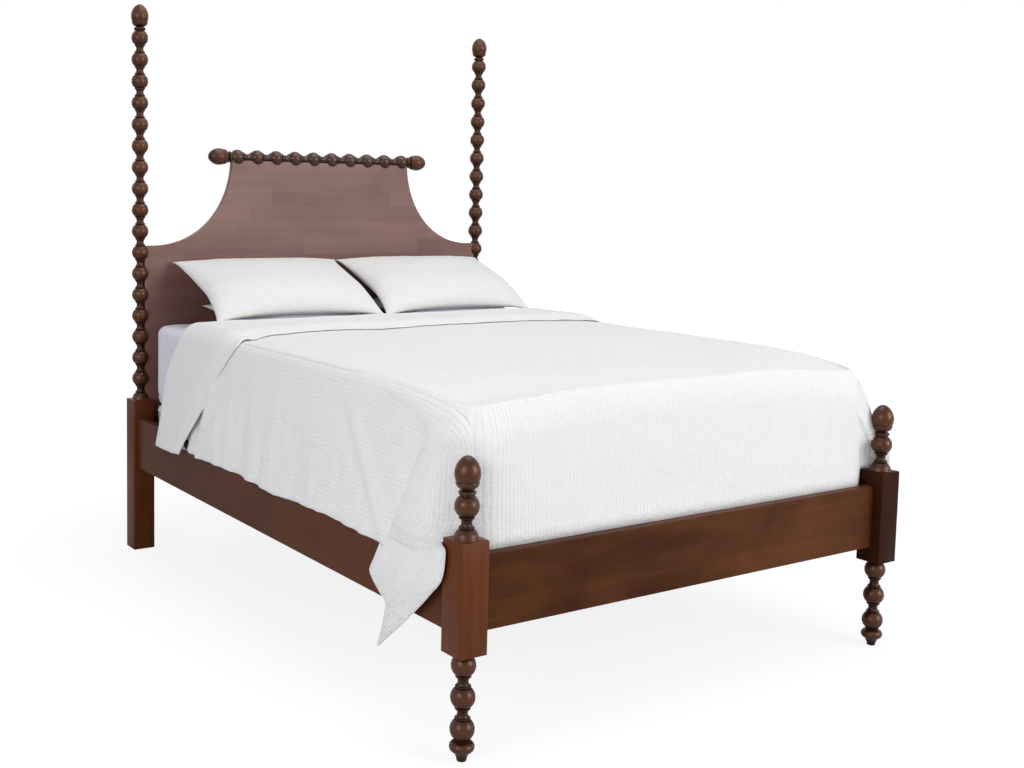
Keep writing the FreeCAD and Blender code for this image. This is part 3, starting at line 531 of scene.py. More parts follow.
# %% Cloth finishes
def puckered_cotton(name, white, pitch=0.0122, blister=0.0076, depth=0.0023, seam=None):
    """Rows of blisters; seam is the V of a creased line along the cloth."""
    finish = Finish(name, Specular_IOR_Level=0.2, Sheen_Weight=0.12, Sheen_Roughness=0.6)
    cloth = finish.own_map("cloth")
    u, v, _ = finish.split(cloth)
    wander = finish.clouds(cloth, 7.0, 2.0) * 0.6 + finish.clouds(cloth, 75.0, 1.0) * 0.5
    across = v / pitch + wander
    row = across.floor()
    ridge = (across.fraction() * math.pi).sine() ** 0.45
    along = u / blister + finish.chance(finish.join(row, 2.0, 5.0)) * 13.0 + finish.clouds(cloth, 60.0, 1.0) * 1.6
    cell = (along.fraction() * math.pi).sine() ** 0.6
    own = finish.chance(finish.join(row, along.floor(), 9.0))
    puff = ridge * (0.40 + cell * (0.10 + own * 0.50))
    thread = finish.clouds(cloth, 1400.0, 1.0)
    limp = finish.clouds(cloth, 26.0, 3.0, 0.6)
    # Painted shade: the cloth is a little darker where the puff is low, in the hollows between rows and blisters.
    finish.colour(finish.ramp(puff, [(0.05, tuple(0.95 * c for c in white)), (0.75, white)]))
    finish.roughness(0.88 - own * 0.06)
    height = puff + thread * 0.08 + limp * 1.5
    if seam:
        line = (v * v) ** 0.5 - seam
        there = ((u + 0.60) * 8.0).at_least(0.0).at_most(1.0)
        height = height - (1.0 - ((line * line) ** 0.5 / 0.004).at_most(1.0)) * there * 1.6
    finish.relief(height, depth, 0.85)
    return finish.material


def plain_cotton(name, white, weave=1500.0, crumple=14.0, depth=0.0016):
    finish = Finish(name, Specular_IOR_Level=0.22, Sheen_Weight=0.12, Sheen_Roughness=0.5)
    spot = finish.place()
    crease = finish.clouds(spot, crumple, 5.0, 0.6, 0.8)
    threads = finish.clouds(spot, weave, 1.0, 0.5)
    # Painted shade: the cloth is a little darker in the low parts of its creases.
    finish.colour(finish.ramp(crease * 0.8 + threads * 0.2, [(0.25, tuple(0.955 * c for c in white)), (0.75, white)]))
    finish.roughness(0.80 + threads * 0.08)
    finish.relief(crease + threads * 0.05, depth, 0.8)
    return finish.material


DUVET_WHITE = (0.83, 0.825, 0.83)
DUVET_COVER = puckered_cotton("puckered_duvet_cotton", DUVET_WHITE, seam=0.772)
FLAP_COVER = puckered_cotton("puckered_flap_cotton", DUVET_WHITE)
DUVET_BACK = plain_cotton("smooth_duvet_cotton", (0.78, 0.775, 0.775), crumple=22.0, depth=0.002)
SHAM_COVER = puckered_cotton("puckered_sham_cotton", (0.715, 0.706, 0.692), pitch=0.0115, depth=0.0013)
SLIP_COVER = plain_cotton("pillow_slip_cotton", (0.73, 0.74, 0.80))
SHEET_COVER = plain_cotton("sheet_cotton", (0.675, 0.675, 0.74), crumple=9.0, depth=0.0022)
TICKING = plain_cotton("mattress_ticking", (0.66, 0.66, 0.70), crumple=60.0, depth=0.001)
LINING = plain_cotton("foundation_cloth", (0.70, 0.70, 0.72), weave=900.0, crumple=30.0)
print("cloth finishes ready")

# %% [markdown]
# Foundation and mattress: boxes with corners rounded in plan, built level by level. One rounded
# rectangle is made by bevelling the corners of a single face. Each level extrudes its rim and
# lets it out or takes it in, which gives the piped tape along the top and bottom of each box.

# %% Foundation and mattress
MATTRESS = (762.0, 1016.0)
CORNER = 100.0
SAG = [(0, 54), (40, 51), (70, 43), (124, 32), (183, 22), (302, 9), (420, 0)]


def between(table, value):
    """Straight interpolation in a table of pairs."""
    for (a, p), (b, q) in zip(table, table[1:]):
        if value <= b:
            return p + (q - p) * max(0.0, (value - a) / (b - a))
    return table[-1][1]


def soft(value):
    """0 to 1 with a soft start and end."""
    value = max(0.0, min(1.0, value))
    return value * value * (3 - 2 * value)


def sag(x, y):
    """How far the foot end of the bed gives way under the tucked cover, most of all at its corners."""
    away = math.hypot(abs(x) - 788.8, y + 1042.0)
    return between(SAG, away) + 12.0 * soft(1 - (y + 1032.0) / 230.0) * soft((away - 60.0) / 200.0)


def settle(piece):
    """Let the foot end of a mattress or its sheet give way below the cover."""
    for vert in piece.data.vertices:
        x, y, z = vert.co / MM
        vert.co.z -= max(0.0, sag(x, y) - 12.0) * soft((z - 700.0) / 155.0) * MM


def rounded_face(mesh, half, corner, segments=9):
    made = bmesh.ops.create_grid(mesh, x_segments=1, y_segments=1, size=1.0)
    bmesh.ops.scale(mesh, vec=(half[0] * MM, half[1] * MM, 1.0), verts=made["verts"])
    bmesh.ops.bevel(mesh, geom=made["verts"], offset=corner * MM, offset_type="OFFSET", segments=segments,
                    affect="VERTICES", profile=0.5, material=-1)
    mesh.faces.ensure_lookup_table()
    return mesh.faces[0]


def let_out(verts, half, corner, outwards, z):
    """Move a rim to its level: outwards of the plain outline by so many millimetres."""
    for vert in verts:
        core = Vector((max(-half[0] + corner, min(half[0] - corner, vert.co.x / MM)),
                       max(-half[1] + corner, min(half[1] - corner, vert.co.y / MM))))
        away = Vector((vert.co.x / MM, vert.co.y / MM)) - core
        if away.length > 1e-6:
            spot = core + away.normalized() * (corner + outwards)
            vert.co = Vector((spot.x, spot.y, z)) * MM


def boxed(name, half, corner, levels, material, body, replaced):
    mesh = bmesh.new()
    cap = rounded_face(mesh, half, corner)
    base = list(cap.verts)
    let_out(base, half, corner, levels[0][0], levels[0][1])
    bottom = cap
    top = bmesh.ops.extrude_face_region(mesh, geom=[bottom], use_keep_orig=True)
    ring = [v for v in top["geom"] if isinstance(v, bmesh.types.BMVert)]
    face = next(f for f in top["geom"] if isinstance(f, bmesh.types.BMFace))
    let_out(ring, half, corner, *levels[1])
    for level in levels[2:]:
        grown = bmesh.ops.extrude_face_region(mesh, geom=[face])
        ring = [v for v in grown["geom"] if isinstance(v, bmesh.types.BMVert)]
        face = next(f for f in grown["geom"] if isinstance(f, bmesh.types.BMFace))
        let_out(ring, half, corner, *level)
    piece = finished(name, mesh, material, body, smooth_below=60.0)
    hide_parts(replaced)
    return piece


def taped(z0, z1, edge, tape=2.4):
    """Levels of a box with rounded rims and a cord of tape at each."""
    rise = [(-edge + edge * math.sin(a), edge - edge * math.cos(a)) for a in (math.pi / 2 * k / 5 for k in range(6))]
    lower = [(-edge * 1.4, z0)] + [(o, z0 + z) for o, z in rise] + \
        [(tape, z0 + edge + 2.0), (tape, z0 + edge + 7.0), (0.0, z0 + edge + 9.0)]
    return lower + [(o, z1 + z0 - z) for o, z in reversed(lower)]


foundation = boxed("foundation_box", MATTRESS, CORNER, taped(361.7, 564.3, 12.0), LINING, "bedstead", "foundation")
mattress = boxed("sprung_mattress", (MATTRESS[0] - 1.5, MATTRESS[1] - 1.5), CORNER, taped(565.0, 861.6, 28.0), TICKING,
                 "mattress", "mattress")
settle(mattress)

# %% [markdown]
# The fitted sheet is one cloth pulled over the mattress, with elastic in its hem. It shows the
# tape below as a faint ridge, and it gathers where the hem turns under pull at the corners.

# %% Fitted sheet
SHEET_TOP = 863.4
HEM = 614.0
mesh = bmesh.new()
face = rounded_face(mesh, MATTRESS, CORNER, segments=16)
bmesh.ops.subdivide_edges(mesh, edges=[e for e in mesh.edges if e.calc_length() > 0.5], cuts=60)
bottom_ring = list(mesh.verts)
levels = [(-26.0, SHEET_TOP)] + [(-28 + 29.5 * math.sin(a), SHEET_TOP - 29.0 + 29.0 * math.cos(a)) for a in
                                 (math.pi / 2 * k / 6 for k in range(1, 7))] + \
    [(1.4, SHEET_TOP - 36), (1.4, SHEET_TOP - 42)] + [(1.2, z) for z in range(800, 640, -20)] + [(0.9, 630.0), (0.6, HEM)]
let_out(bottom_ring, MATTRESS, CORNER, -30.0, SHEET_TOP)
for outwards, z in levels:
    rim = [e for e in mesh.edges if e.is_boundary]
    grown = bmesh.ops.extrude_edge_only(mesh, edges=rim)
    ring = [v for v in grown["geom"] if isinstance(v, bmesh.types.BMVert)]
    let_out(ring, MATTRESS, CORNER, outwards, z)
for vert in mesh.verts:
    x, y, z = vert.co / MM
    low_down = max(0.0, min(1.0, (SHEET_TOP - 40.0 - z) / 200.0))
    pull = noise.noise(Vector((x / 55.0, y / 55.0, z / 260.0))) * 1.6 * low_down
    out = Vector((x if abs(abs(x) - MATTRESS[0]) < 60 else 0.0, y if abs(abs(y) - MATTRESS[1]) < 60 else 0.0, 0.0))
    if out.length > 1.0 and z < SHEET_TOP - 30.0:
        vert.co += out.normalized() * abs(pull) * MM
sheet = finished("fitted_cotton_sheet", mesh, SHEET_COVER, "mattress", smooth_below=75.0)
settle(sheet)
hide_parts("fitted_sheet")

# %% [markdown]
# The duvet body. It is laid out as a flat sheet first: a grid for the top, and a skirt extruded
# from three of its rims. Then every point is carried to its place on the bed: over a rounded edge,
# down the sides over the rails, and at the foot down behind the rail. The folds are smooth waves
# added along the way out, so they can be as deep or as shallow as on the real bed.

# %% How the duvet lies
TOP_Z, EDGE = 892.0, 46.0
FLAT_X, FLAT_Y, HEAD_Y = 788.8 - EDGE, 1042.0 - EDGE, 584.0
TURN = 67.0
QUARTER = EDGE * math.pi / 2
SIDE_RUN = HEAD_Y + FLAT_Y - TURN + TURN * math.pi / 4
FOOT_RUN = 2 * (FLAT_X - TURN + TURN * math.pi / 4)


def rim_at(run):
    """Place and outward direction on the rim of the flat top, run millimetres from the left head end."""
    whole = 2 * SIDE_RUN + FOOT_RUN
    mirror = run > whole / 2
    if mirror:
        run = whole - run
    straight = HEAD_Y + FLAT_Y - TURN
    if run <= straight:
        x, y, nx, ny = -FLAT_X, HEAD_Y - run, -1.0, 0.0
    elif run <= straight + TURN * math.pi / 2:
        a = (run - straight) / TURN
        nx, ny = -math.cos(a), -math.sin(a)
        x, y = -FLAT_X + TURN + TURN * nx, -FLAT_Y + TURN + TURN * ny
    else:
        x, y, nx, ny = -FLAT_X + TURN + (run - straight - TURN * math.pi / 2), -FLAT_Y, 0.0, -1.0
    return (-x, y, -nx, ny) if mirror else (x, y, nx, ny)


def ripple(x, y):
    """Unevenness of the top, in millimetres."""
    broad = noise.noise(Vector((x / 300.0, y / 300.0, 3.1))) * 5.0 + noise.noise(Vector((x / 85.0, y / 110.0, 7.7))) * 1.5
    crown = 4.0 * (1 - (x / FLAT_X) ** 4) - sag(x, y)
    near_fold = math.exp(-((y - 225.0) / 75.0) ** 2)
    tucks = abs(noise.noise(Vector(((x * 0.8 + y) / 30.0, (x - y) / 210.0, 1.0)))) * -5.0 * near_fold
    return broad + crown + tucks


def rake(drop):
    return 150.0 * (1 - math.exp(-max(0.0, drop) / 140.0))


def side_wave(y, drop):
    """Folds of the side, in millimetres outwards."""
    depth = soft(drop / 300.0)
    wave = math.sin(y / 34.0 + 1.4 * math.sin(y / 83.0)) * 3.5 + noise.noise(Vector((y / 120.0, drop / 400.0, 5.0))) * 11.0
    small = noise.noise(Vector((y / 38.0, drop / 160.0, 9.0))) * 4.5
    quiet = soft((y + 800.0) / 160.0)
    crest = 333.0 + 95.0 * soft(drop / 380.0)
    roll = math.exp(-((y - crest) / 30.0) ** 2) * 8.0 - 15.0 * soft((y - crest) / 50.0)
    slant = y + 500.0 + 0.75 * drop
    drawn = 8.0 * math.exp(-(slant / 34.0) ** 2) - 7.0 * math.exp(-((slant - 62.0) / 36.0) ** 2)
    return depth * (wave * quiet + small * quiet) + soft(drop / 120.0) * (roll + drawn)


def hem_at(y, nx):
    if abs(nx) < 0.999:
        return 482.0
    return 474.0 + 5.0 * math.sin(y / 95.0) + 5.0 * noise.noise(Vector((y / 60.0, 2.0, 0.0)))


def lie(x, y, nx, ny, share):
    """Point of the duvet's skirt: from the rim (0) to the hem (1)."""
    hem = hem_at(y, nx)
    down = share * (QUARTER + TOP_Z - EDGE - hem)
    side = soft((y + 905.0) / 110.0) if abs(nx) > 0.5 else 0.0
    fall = EDGE + 34.0 * max(0.0, -ny)
    if down < QUARTER:
        a = down / EDGE
        out, z, lean = EDGE * math.sin(a), TOP_Z - fall + fall * math.cos(a), math.sin(a)
        drop = 0.0
    else:
        drop = down - QUARTER
        out, lean = EDGE + 41.0 * side * (drop / 356.0) ** 0.8, 1.0
        z = TOP_Z - fall - drop * (TOP_Z - fall - hem) / (TOP_Z - EDGE - hem)
    y_here = y + side * rake(drop) * soft(y / HEAD_Y)
    if 0.2 < abs(nx) < 0.98:
        out += 1.6 * soft((620.0 - z) / 40.0)
    rest = ripple(x, y) * (1 - soft(down / QUARTER))
    z -= sag(x + nx * out, y + ny * out) * soft(down / QUARTER) * (1 - soft((down - QUARTER) / 200.0))
    if abs(nx) > 0.5:
        out += side_wave(y_here, drop) * side
    if ny < -0.5:
        bulge = math.exp(-((z - 528.0) / 22.0) ** 2) * (5.0 + 4.0 * noise.noise(Vector((x / 26.0, z / 30.0, 4.0))))
        hollow = noise.noise(Vector((x / 230.0, z / 170.0, 6.0))) * 6.0 * soft(drop / 120.0) * soft((z - 530.0) / 60.0)
        tucked = -6.0 * soft((512.0 - z) / 12.0)
        out += (bulge + tucked) * soft((720.0 - abs(x)) / 60.0) + hollow * soft((700.0 - abs(x)) / 90.0)
    return Vector((x + nx * out, y_here + ny * out, z)) + Vector((nx * lean, ny * lean, 1.0 - lean)) * rest, down, y_here


print("duvet rim is", round(2 * SIDE_RUN + FOOT_RUN), "mm round")

# %% Duvet body
ACROSS, ALONG = 122, 132
SHARES = [k / 6 * 0.13 for k in range(1, 7)] + [0.13 + 0.87 * k / 34 for k in range(1, 35)]
DOWN = len(SHARES)
mesh = bmesh.new()
bmesh.ops.create_grid(mesh, x_segments=ACROSS, y_segments=ALONG, size=1.0)
rim = [e for e in mesh.edges if e.is_boundary and not all(v.co.y > 0.999 for v in e.verts)]
for step in range(DOWN):
    grown = bmesh.ops.extrude_edge_only(mesh, edges=rim)["geom"]
    fresh = {v for v in grown if isinstance(v, bmesh.types.BMVert)}
    bmesh.ops.translate(mesh, vec=(0, 0, -1.0), verts=list(fresh))
    rim = [e for e in grown if isinstance(e, bmesh.types.BMEdge) and all(v in fresh for v in e.verts)]

cloth = mesh.loops.layers.uv.new("cloth")


def run_of(s, t):
    """Distance along the rim for a rim point of the flat layout."""
    if s < -0.999:
        return (1 - t) / 2 * SIDE_RUN
    if s > 0.999:
        return 2 * SIDE_RUN + FOOT_RUN - (1 - t) / 2 * SIDE_RUN
    return SIDE_RUN + (s + 1) / 2 * FOOT_RUN


def top_at(s, t):
    """Point of the flat top, blended from its four rims."""
    a, b = (s + 1) / 2, (t + 1) / 2
    left, right = rim_at(run_of(-1, t)), rim_at(run_of(1, t))
    foot = rim_at(SIDE_RUN + a * FOOT_RUN)
    head_x = -FLAT_X + a * 2 * FLAT_X
    corner_l, corner_r = rim_at(SIDE_RUN), rim_at(SIDE_RUN + FOOT_RUN)
    x = (1 - a) * left[0] + a * right[0] + (1 - b) * foot[0] + b * head_x \
        - ((1 - a) * (1 - b) * corner_l[0] + a * (1 - b) * corner_r[0] + (1 - a) * b * -FLAT_X + a * b * FLAT_X)
    y = (1 - a) * left[1] + a * right[1] + (1 - b) * foot[1] + b * HEAD_Y \
        - ((1 - b) * corner_l[1] + b * HEAD_Y)
    return x, y


placed = {}
for vert in mesh.verts:
    s, t, level = vert.co
    if level > -0.5:
        x, y = top_at(s, t)
        placed[vert] = (Vector((x, y, TOP_Z + ripple(x, y))), x, y, 0.0, y)
    else:
        x, y, nx, ny = rim_at(run_of(s, t))
        point, down, y_here = lie(x, y, nx, ny, SHARES[round(-level) - 1])
        placed[vert] = (point, x, y, down, y_here)
for face in mesh.faces:
    middle = face.calc_center_median()
    on_side = abs(middle.x) > 0.9999 and middle.z < -0.01 or middle.z < -0.01 and abs(middle.x) > 0.999
    for loop in face.loops:
        _, x, y, down, y_here = placed[loop.vert]
        if middle.z > -0.01:
            loop[cloth].uv = (y * MM, x * MM)
        elif on_side:
            loop[cloth].uv = (y_here * MM, math.copysign(FLAT_X + down, x) * MM)
        else:
            loop[cloth].uv = (-(FLAT_Y + down) * MM, x * 1.02 * MM)
for vert, (point, *_) in placed.items():
    vert.co = point * MM
duvet = finished("duvet_body", mesh, DUVET_COVER, "duvet", smooth_below=80.0)
if sum(p.normal.z for p in duvet.data.polygons) < 0:
    duvet.data.flip_normals()
thick = duvet.modifiers.new("filling", "SOLIDIFY")
thick.thickness = 7.0 * MM
thick.offset = -1.0
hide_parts("duvet")

# %% [markdown]
# The head end of the duvet is folded back, so that its smooth underside shows as a broad band. It
# is one strip that starts at the stitched hem, swells over the filling and rolls round the fold.
# On the sides it hangs at a slant, narrower towards its lower end.

# %% Folded band
BAND_FOOT = [(0, 300), (520, 296), (640, 270), (727, 214), (790, 206), (850, 262), (910, 322), (1010, 392), (1160, 532), (1200, 566)]
BAND_HEAD = [(0, 603), (727, 603), (800, 612), (880, 668), (960, 704), (1080, 722), (1200, 750)]
BAND_END = FLAT_X + QUARTER + TOP_Z - EDGE - 457.0
ROLL = 9


def band_at(c, q):
    """Point of the band: c across the bed along the cloth, q from the hem (0) over the roll (1)."""
    a = abs(c)
    foot, head = between(BAND_FOOT, a), between(BAND_HEAD, a)
    foot += noise.noise(Vector((c / 48.0, 1.0, 0.0))) * 5.0 + noise.noise(Vector((c / 17.0, 3.0, 0.0))) * 2.0
    head += noise.noise(Vector((c / 210.0, 8.0, 0.0))) * 6.0
    flat_part = min(1.0, q / 0.78)
    swell = 6.5 + 15.5 * soft(flat_part / 0.24) + noise.noise(Vector((c / 130.0, q * 2.2, 0.0))) * 3.0 * soft(flat_part / 0.3)
    swell += abs(noise.noise(Vector((c / 30.0, q * 1.5, 2.0)))) * 3.0 * (1 - soft(flat_part / 0.45))
    y = foot + (head - foot) * flat_part
    if q > 0.78:
        a_roll = (q - 0.78) / 0.22 * math.pi
        swell += -19.0 + 19.0 * math.cos(a_roll)
        y = head + 17.0 * math.sin(a_roll) - 10.0 * (q - 0.78) / 0.22
    if a <= FLAT_X:
        x, z, nx, nz = a, TOP_Z + ripple(c, y) * (1 - soft(flat_part)), 0.0, 1.0
    elif a <= FLAT_X + QUARTER:
        turn = (a - FLAT_X) / EDGE
        nx, nz = math.sin(turn), math.cos(turn)
        x, z = FLAT_X + EDGE * nx, TOP_Z - EDGE + EDGE * nz
    else:
        drop = a - FLAT_X - QUARTER
        nx, nz = 1.0, 0.0
        x, z = FLAT_X + EDGE + 41.0 * (drop / 356.0) ** 0.8, TOP_Z - EDGE - drop
        lower = soft(drop / 380.0)
        swell = swell * (1 - 0.30 * lower) + noise.noise(Vector((drop / 190.0, q * 3.0, 4.0))) * 5.0 * lower
        if q > 0.78:
            swell = max(swell, -10.0)
    return Vector((math.copysign(x + nx * swell, c), y, z + nz * swell))


mesh = bmesh.new()
bmesh.ops.create_grid(mesh, x_segments=230, y_segments=44, size=1.0)
cloth = mesh.loops.layers.uv.new("cloth")
for face in mesh.faces:
    for loop in face.loops:
        loop[cloth].uv = (loop.vert.co.x * BAND_END * MM, loop.vert.co.y * 0.2)
for vert in mesh.verts:
    vert.co = band_at(vert.co.x * BAND_END, (vert.co.y + 1) / 2) * MM
band = finished("duvet_folded_band", mesh, DUVET_BACK, "duvet", smooth_below=80.0)
if sum(p.normal.z for p in band.data.polygons) < 0:
    band.data.flip_normals()
thick = band.modifiers.new("cloth", "SOLIDIFY")
thick.thickness = 4.0 * MM
thick.offset = -1.0

# %% [markdown]
# At each foot corner the spare cloth is drawn out past the post and hangs as a pointed flap. Each
# flap is a closed, softly filled form: a ring of points is carried down a table of rows, and each
# row bulges between its two edges. Where a flap meets the duvet body, the meeting line is the
# crease that the real cloth makes.

# %% Corner flaps
def along_rows(rows, place):
    """Smooth curve through the rows of a table."""
    place = max(0.0, min(len(rows) - 1.0001, place))
    k = int(place)
    f = place - k
    before, here, after, beyond = (rows[max(0, min(len(rows) - 1, k + d))] for d in (-1, 0, 1, 2))
    return [0.5 * (2 * b + (c - a) * f + (2 * a - 5 * b + 4 * c - d) * f * f + (3 * b - a - 3 * c + d) * f ** 3)
            for a, b, c, d in zip(before, here, after, beyond)]


def surface(*pieces):
    """Search trees of finished pieces, modifiers included."""
    depsgraph = bpy.context.evaluated_depsgraph_get()
    return [BVHTree.FromObject(piece, depsgraph) for piece in pieces]


def lifted(spot, body, side, least):
    """The spot, moved out to lie at least so far above the duvet's surface."""
    here = Vector((side * spot.x, spot.y, spot.z)) * MM
    hit, normal, _, _ = body.find_nearest(here)
    height = (here - hit).dot(normal) / MM
    if height < least:
        here = hit + normal * least * MM
    return Vector((side * here.x, here.y, here.z)) / MM


# Each row: foot edge, middle and head edge (distance from the middle of the bed, along the bed,
# height), then the swell outwards.
FLAP_LOWER = [
    (832, -1048, 541, 829, -950, 522, 821, -774, 513, 20), (834, -1054, 500, 831, -930, 476, 825, -744, 482, 22),
    (834, -1037, 452, 831, -895, 428, 828, -716, 422, 22), (834, -991, 402, 831, -865, 388, 829, -698, 382, 21),
    (834, -951, 364, 831, -850, 347, 830, -748, 346, 19), (834, -905, 322, 832, -840, 315, 830, -784, 324, 17),
    (834, -866, 288, 832, -815, 277, 832, -776, 275, 14), (834, -812, 244, 833, -788, 238, 833, -765, 236, 10),
    (835, -766, 205, 835, -758, 200, 835, -752, 203, 4)]
FLAP_LEFT = [
    (768, -560, 884, 772, -560, 882, 776, -560, 879, 1), (768, -740, 878, 778, -730, 868, 786, -720, 856, 3),
    (766, -860, 868, 783, -840, 850, 789, -825, 828, 6), (761, -930, 857, 786, -905, 828, 791, -885, 798, 9),
    (751, -985, 840, 787, -945, 798, 793, -905, 768, 12), (738, -1012, 805, 785, -965, 768, 796, -890, 738, 14),
    (732, -1019, 768, 784, -970, 736, 799, -870, 706, 15), (731, -1021, 720, 790, -966, 692, 803, -850, 668, 16),
    (729, -1022, 672, 800, -960, 648, 807, -830, 626, 17), (730, -1022, 630, 809, -956, 606, 811, -812, 588, 17),
    (734, -1021, 594, 816, -952, 574, 814, -796, 558, 18), (752, -1020, 564, 822, -950, 548, 817, -784, 534, 19),
    (795, -1020, 548, 827, -950, 532, 819, -776, 518, 20), (828, -1026, 538, 830, -947, 514, 821, -766, 504, 21),
    (834, -1050, 522, 831, -940, 496, 824, -752, 490, 22)] + FLAP_LOWER[2:]
FLAP_RIGHT = [
    (738, -988, 824, 744, -981, 824, 750, -974, 822, 1), (714, -1012, 825, 755, -987, 824, 778, -952, 816, 4),
    (680, -1028, 806, 765, -990, 796, 792, -925, 784, 9), (672, -1036, 768, 778, -996, 760, 797, -905, 742, 13),
    (684, -1036, 720, 790, -1000, 712, 800, -880, 694, 15), (700, -1034, 668, 818, -1003, 660, 804, -858, 650, 16),
    (724, -1024, 622, 838, -1003, 612, 809, -830, 606, 17), (728, -1021, 588, 845, -1003, 576, 812, -812, 568, 18),
    (734, -1019, 556, 846, -1000, 548, 816, -790, 538, 19), (790, -1019, 538, 838, -975, 526, 818, -780, 516, 20),
    (828, -1026, 532, 833, -950, 512, 822, -768, 504, 21), (834, -1050, 522, 831, -940, 496, 824, -752, 490, 22)] + FLAP_LOWER[2:]


def flap(name, side, rows, seed, kick=0.0):
    """One flap; kick draws the cloth towards the foot just outside the post."""
    body = surface(duvet)[0]
    mesh = bmesh.new()
    ring_of, steps = 84, 132
    made = bmesh.ops.create_circle(mesh, segments=ring_of, radius=1.0)
    edges = list(mesh.edges)
    for step in range(steps):
        grown = bmesh.ops.extrude_edge_only(mesh, edges=edges)["geom"]
        fresh = {v for v in grown if isinstance(v, bmesh.types.BMVert)}
        bmesh.ops.translate(mesh, vec=(0, 0, -1.0), verts=list(fresh))
        edges = [e for e in grown if isinstance(e, bmesh.types.BMEdge) and all(v in fresh for v in e.verts)]
    for level in (0, -steps):
        rim = [e for e in mesh.edges if e.is_boundary and abs(e.verts[0].co.z - level) < 0.1]
        bmesh.ops.contextual_create(mesh, geom=rim)
    cloth = mesh.loops.layers.uv.new("cloth")
    spots = {}
    for vert in mesh.verts:
        level = -vert.co.z / steps
        fx, fy, fz, mx, my, mz, hx, hy, hz, swell = along_rows(rows, level * (len(rows) - 1))
        angle = math.atan2(vert.co.y, vert.co.x)
        outer = angle >= 0
        t = abs(angle) / math.pi
        a, b, c = (1 - t) ** 2, 2 * t * (1 - t), t * t
        foot, mid, head = Vector((fx, fy, fz)), Vector((mx, my, mz)), Vector((hx, hy, hz))
        guide = 2 * mid - (foot + head) / 2
        spot = a * foot + b * guide + c * head
        tangent = (2 * (1 - t) * (guide - foot) + 2 * t * (head - guide)).normalized()
        out = Vector((-tangent.y, tangent.x, 0.0))
        out = (out if out.x > 0 else -out).normalized()
        rise = math.sin(math.pi * t) ** 0.45
        width = (head - foot).length
        folds = noise.noise(Vector((t * width / 60.0, level * 5.0, seed))) * 5.0 + math.sin(t * 9.0 + level * 4.0 + seed) * 2.0
        spot.y -= kick * math.exp(-((t - 0.33) / 0.12) ** 2 - ((spot.z - 600.0) / 62.0) ** 2)
        if outer:
            spot = spot + out * (swell * rise + folds * rise * soft((level - 0.2) / 0.3))
            spot = lifted(spot, body, side, -6.0 + 6.6 * soft(level / 0.09) + 6.0 * rise * soft((level - 0.05) / 0.3)) if spot.z > 640.0 else spot
        else:
            spot = spot + out * (min(2.0, 0.15 * swell) * rise)
        spots[vert] = (Vector((side * spot.x, spot.y, spot.z)), t * width, level)
    for face in mesh.faces:
        for loop in face.loops:
            _, across, level = spots[loop.vert]
            loop[cloth].uv = (level * 1.05, across * MM + 0.004)
    for vert, (spot, _, _) in spots.items():
        vert.co = spot * MM
    piece = finished(name, mesh, FLAP_COVER, "duvet", smooth_below=80.0)


flap("duvet_flap_left", -1, FLAP_LEFT, 0.3)
flap("duvet_flap_right", 1, FLAP_RIGHT, 4.1, kick=22.0)

# %% [markdown]
# Pillows. A filled slip is fullest in its lower middle and flat at the seam; the filling draws the
# seam in between the corners and leaves small ears. Two layers of one grid are joined at the rim,
# and every point is moved out along that rule, with short puckers running in from the seam. Then
# the slip is simulated as cloth for a few frames, with the filling's pressure inside it.

# %% Stuffing
def stuffed(size, seed, drawn=0.035):
    """Filled slip, centred, of that length, depth and thickness; drawn is how far its seam pulls in."""
    mesh = bmesh.new()
    bmesh.ops.create_grid(mesh, x_segments=92, y_segments=60, size=1.0)
    grown = bmesh.ops.extrude_face_region(mesh, geom=list(mesh.faces), use_keep_orig=True)
    upper = {v for v in grown["geom"] if isinstance(v, bmesh.types.BMVert)}
    for vert in mesh.verts:
        u, v, side = vert.co.x, vert.co.y, 1 if vert in upper else -1
        w = v + 0.16 * (1 - v * v)
        full = ((1 - abs(u) ** 2.6) * (1 - abs(w) ** 2.6)) ** 0.56 if abs(w) < 1 else 0.0
        ear = 0.03 * abs(u * v) ** 10
        x = u * (1 - drawn * (1 - v * v) ** 1.5 + ear) * size[0] / 2
        y = v * (1 - 1.5 * drawn * (1 - u * u) ** 1.5 + ear) * size[1] / 2
        pucker = noise.noise(Vector((x / 34.0 if abs(v) > abs(u) else x / 120.0, y / 34.0 if abs(u) > abs(v) else y / 120.0, seed)))
        broad = noise.noise(Vector((x / 170.0, y / 130.0, seed + 9.0 * side)))
        z = side * (1.5 + full * size[2] / 2) + 5.0 * pucker * full ** 0.5 * (1 - full) + 5.0 * broad * full
        vert.co = Vector((x, y, z)) * MM
    print("slip filled, seed", seed)
    return mesh


